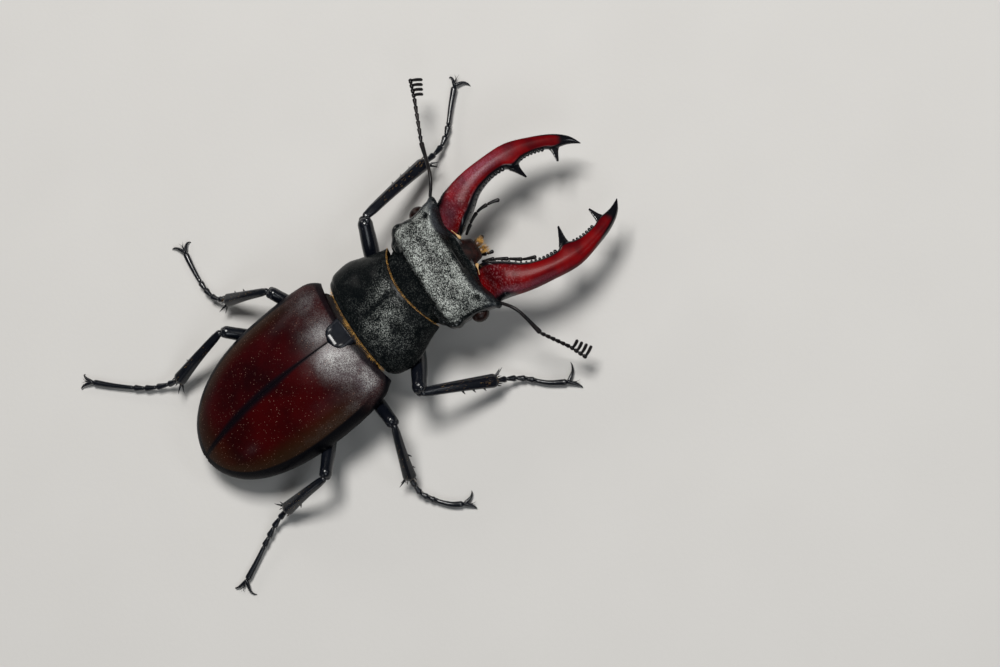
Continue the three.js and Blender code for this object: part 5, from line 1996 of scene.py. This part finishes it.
@dataclass
class Fringes:
    """The golden fringes at the collar's edges, the mouth's brush and the bristles of the legs."""

    pronotum: Pronotum
    legs: Sequence[Leg]
    front_count: int = 520
    rear_count: int = 1300
    brush_count: int = 420
    shin_count: int = 120
    cuff_count: int = 26  # how many of the shin's bristles stand round its end
    sole_count: int = 8
    front_radius: float = 0.017
    rear_radius: float = 0.014
    brush_radius: float = 0.035
    shin_radius: float = 0.013
    sole_radius: float = 0.022
    front_reach: float = 0.985  # share of the edge's half length that has a fringe
    rear_reach: float = 0.93
    lowest: float = 0.05  # how far above the floor every bristle ends
    seed: int = 7

    def collar(self, coat: Coat, front: bool) -> list[Strand]:
        """The fringe along the front or the rear edge of the pronotum."""
        strands = []
        count = self.front_count if front else self.rear_count
        along = 0.0 if front else 1.0
        reach = self.front_reach if front else self.rear_reach
        for index in range(count):
            share = blend(-reach, reach, (index + coat.draw(0, 1)) / count)
            row = coat.draw(0.0, 1.0)
            edge = self.pronotum.rim(along, share)
            aside = Vector((share * 0.45, 0.0, 0.0))
            clump = clamp(0.5 + 0.9 * noise.noise(Vector((share * 17.0, 3.0 * along, 0.4))))
            if front:
                root = edge + Vector((0.0, 0.18, -0.2 - 0.15 * row))
                aim = Vector((0.0, -1.0, -0.3 + 0.2 * row)) + aside + coat.jitter(0.14)
                length = coat.draw(0.32, 0.5)
            else:
                root = edge + Vector((0.0, -0.1, -0.3 - 0.55 * row))
                aim = Vector((0.0, 1.0, -0.05 + 0.4 * row)) + aside * 0.4 + coat.jitter(0.22 + 0.2 * clump)
                length = coat.draw(0.25, 0.55) + 0.75 * clump**2
            spot = (0.5 + 0.48 * share, 0.1 + 0.3 * row + (0.0 if front else 0.5))
            radius = self.front_radius if front else self.rear_radius
            strands.append(Strand(root, aim, Vector((0.0, 0.0, -0.15)), length, radius, spot))
        return strands

    def brush(self, coat: Coat) -> list[Strand]:
        """The orange brush of the mouth."""
        strands = []
        for index in range(self.brush_count):
            side = 1.0 if index % 2 else -1.0
            u, v = coat.random.uniform(0, 1, 2)
            root = Vector((side * blend(0.15, 1.0, u), blend(-23.6, -23.0, v), 10.1 + coat.draw(-0.2, 0.3)))
            aim = Vector((side * 0.35 - 0.1, -1.0, 0.2)) + coat.jitter(0.3)
            length = coat.draw(0.6, 1.15)
            spot = (0.5 + 0.4 * side * u, v)
            strands.append(Strand(root, aim, Vector((0.0, 0.0, 0.1)), length, self.brush_radius, spot))
        angle, pivot = HEAD_TURN
        spin = Matrix.Rotation(angle, 3, "Z")
        return [
            Strand(spin @ (s.root - pivot) + pivot, spin @ s.aim, s.droop, s.length, s.radius, s.spot)
            for s in strands
        ]

    def leg_hairs(self, coat: Coat, leg: Leg) -> list[Strand]:
        """Bristles all round a shin, thickest round its end, and under the foot."""
        strands = []
        for index in range(self.shin_count):
            share = coat.draw(0.82, 0.98) if index < self.cuff_count else coat.draw(0.25, 0.9)
            centre, along, across, over = leg.shin_line.frame(share)
            turn = coat.draw(0.0, 2.0 * math.pi)
            out = across * math.cos(turn) + over * math.sin(turn)
            radius = blend(leg.kind.tibia, leg.kind.flare, share**2) * 0.8
            aim = out * 0.5 + along + coat.jitter(0.15)
            length = coat.draw(0.3, 0.55)
            spot = (turn / (2.0 * math.pi), share)
            strands.append(Strand(centre + out * radius, aim, -0.1 * out, length, self.shin_radius, spot))
        for start in leg.joints[1:-1]:
            for _ in range(self.sole_count):
                centre, along, across, over = leg.foot_line.frame(start - 0.02)
                hand = coat.draw(-1.0, 1.0)
                root = centre + across * (0.32 * hand) - over * 0.25
                aim = along - over * 0.55 + across * (0.3 * hand) + coat.jitter(0.1)
                spot = (0.5 + 0.45 * hand, start)
                strands.append(Strand(root, aim, Vector(), coat.draw(0.25, 0.42), self.sole_radius, spot))
        return [hair for hair in strands if (hair.root + hair.aim.normalized() * hair.length).z > self.lowest]

    def build(self, bench: Bench) -> None:
        """Makes the pieces."""
        coat = Coat(self.seed)
        coat.piece("collar_fringe_front", self.collar(coat, True), bench)
        coat.piece("collar_fringe_rear", self.collar(coat, False), bench)
        coat.piece("mouth_brush", self.brush(coat), bench)
        for leg in self.legs:
            coat.piece(f"leg_bristles_{leg.name}", self.leg_hairs(coat, leg), bench)


# ---------------------------------------------------------------- studio


@dataclass(frozen=True)
class Lamp:
    """A soft square light that shines on the beetle."""

    name: str
    aim: Point  # the direction from the beetle to the light
    distance: float  # in metres
    size: float  # its side, in metres
    power: float  # in watts
    colour: Point

    def build(self) -> None:
        """Adds the light."""
        data = bpy.data.lights.new(self.name, "AREA")
        data.shape = "SQUARE"
        data.size = self.size
        data.energy = self.power
        data.color = self.colour
        direction = Vector(self.aim).normalized()
        turn = direction.to_track_quat("Z", "Y").to_matrix().to_4x4()
        stood(self.name, data).matrix_world = Matrix.Translation(direction * self.distance) @ turn


@dataclass
class Studio:
    """The floor, the lights and the camera."""

    lamps: tuple[Lamp, ...] = (
        Lamp("top", (0.24, -0.22, 0.94), 0.8, 0.24, 6.9, (1.0, 0.985, 0.96)),
        Lamp("left", (0.93, 0.12, 0.45), 0.8, 0.2, 0.7, (1.0, 0.97, 0.92)),
        Lamp("front", (-0.33, -0.58, 0.74), 0.85, 0.16, 0.45, (0.94, 0.97, 1.0)),
        Lamp("rear", (-0.23, 0.89, 0.30), 0.8, 0.1, 0.2, (0.94, 0.97, 1.0)),
        Lamp("right", (-0.62, 0.06, 0.74), 0.9, 0.42, 1.4, (0.90, 0.96, 1.0)),
    )
    sky: Colour = (0.9, 0.93, 0.96, 1.0)
    sky_strength: float = 0.04
    floor_half: float = 0.9
    lens: float = 100.0
    sensor: float = 36.0
    frame: tuple[int, int] = (1000, 667)
    scale: float = 6.5  # picture points per millimetre at the waist
    waist_height: float = 11.0
    waist_at: Row = (354.91, 331.4)
    tilt: float = math.radians(14.0)
    lean: float = math.radians(6.0)
    roll: float = math.radians(33.87)

    def camera(self) -> None:
        """Looks down on the beetle from its right, with its head towards the upper right."""
        forward, right = Vector((0.0, -1.0, 0.0)), Vector((-1.0, 0.0, 0.0))
        back = right * math.sin(self.tilt) + forward * math.sin(self.lean)
        back += UP * math.sqrt(1.0 - back.length_squared)
        beside = (right - back * right.dot(back)).normalized()
        ahead = back.cross(beside)
        to_right = ahead * math.cos(self.roll) + beside * math.sin(self.roll)
        to_top = ahead * math.sin(self.roll) - beside * math.cos(self.roll)
        width, height = self.frame
        distance = self.lens / self.sensor * width / self.scale
        place = Vector((0.0, 0.0, self.waist_height)) + back * distance
        place -= to_right * ((self.waist_at[0] - width / 2.0) / self.scale)
        place -= to_top * ((height / 2.0 - self.waist_at[1]) / self.scale)
        data = bpy.data.cameras.new("camera")
        data.lens = self.lens
        data.sensor_width = self.sensor
        data.clip_start = 0.01
        camera = stood("camera", data)
        turn = Matrix((to_right, to_top, back)).transposed()
        camera.matrix_world = Matrix.Translation((place + WAIST) * MM) @ turn.to_4x4()
        bpy.context.scene.camera = camera

    def floor(self) -> None:
        """Lays the floor."""
        body = bmesh.new()
        bmesh.ops.create_grid(body, x_segments=4, y_segments=4, size=self.floor_half)
        mesh = stored("floor", body)
        mesh.materials.append(FloorFinish().material("pale_paper"))
        floor = stood("floor", mesh)
        floor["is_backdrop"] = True

    def build(self) -> None:
        """Sets up the picture."""
        self.camera()
        self.floor()
        for lamp in self.lamps:
            lamp.build()
        world = bpy.data.worlds.new("studio")
        world.use_nodes = True
        background = world.node_tree.nodes["Background"]
        background.inputs["Color"].default_value = self.sky
        background.inputs["Strength"].default_value = self.sky_strength
        bpy.context.scene.world = world
        bpy.context.scene.view_settings.view_transform = "Standard"


# ---------------------------------------------------------------- the whole


def corners(box: Sequence) -> list[list[float]]:
    """A box's two corners as plain lists."""
    return [[float(value) for value in corner] for corner in box]


def main() -> None:
    """Builds the beetle over its frame."""
    logging.basicConfig(level=logging.INFO, format="%(message)s")
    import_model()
    frame_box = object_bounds()
    bench = Bench()
    Studio().build()
    wings = WingCases()
    pronotum = Pronotum()
    legs = [Leg(name, pose) for name, pose in LEG_POSES.items()]
    head = Head()
    for part in (wings, pronotum, head, Jaws(head), Feelers(), Trunk(wings), *legs, Fringes(pronotum, legs)):
        part.build(bench)
    LOG.info("%d pieces", len(bench.pieces))
    {"frame": corners(frame_box), "model": corners(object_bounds())}


if __name__ == "__main__":
    main()
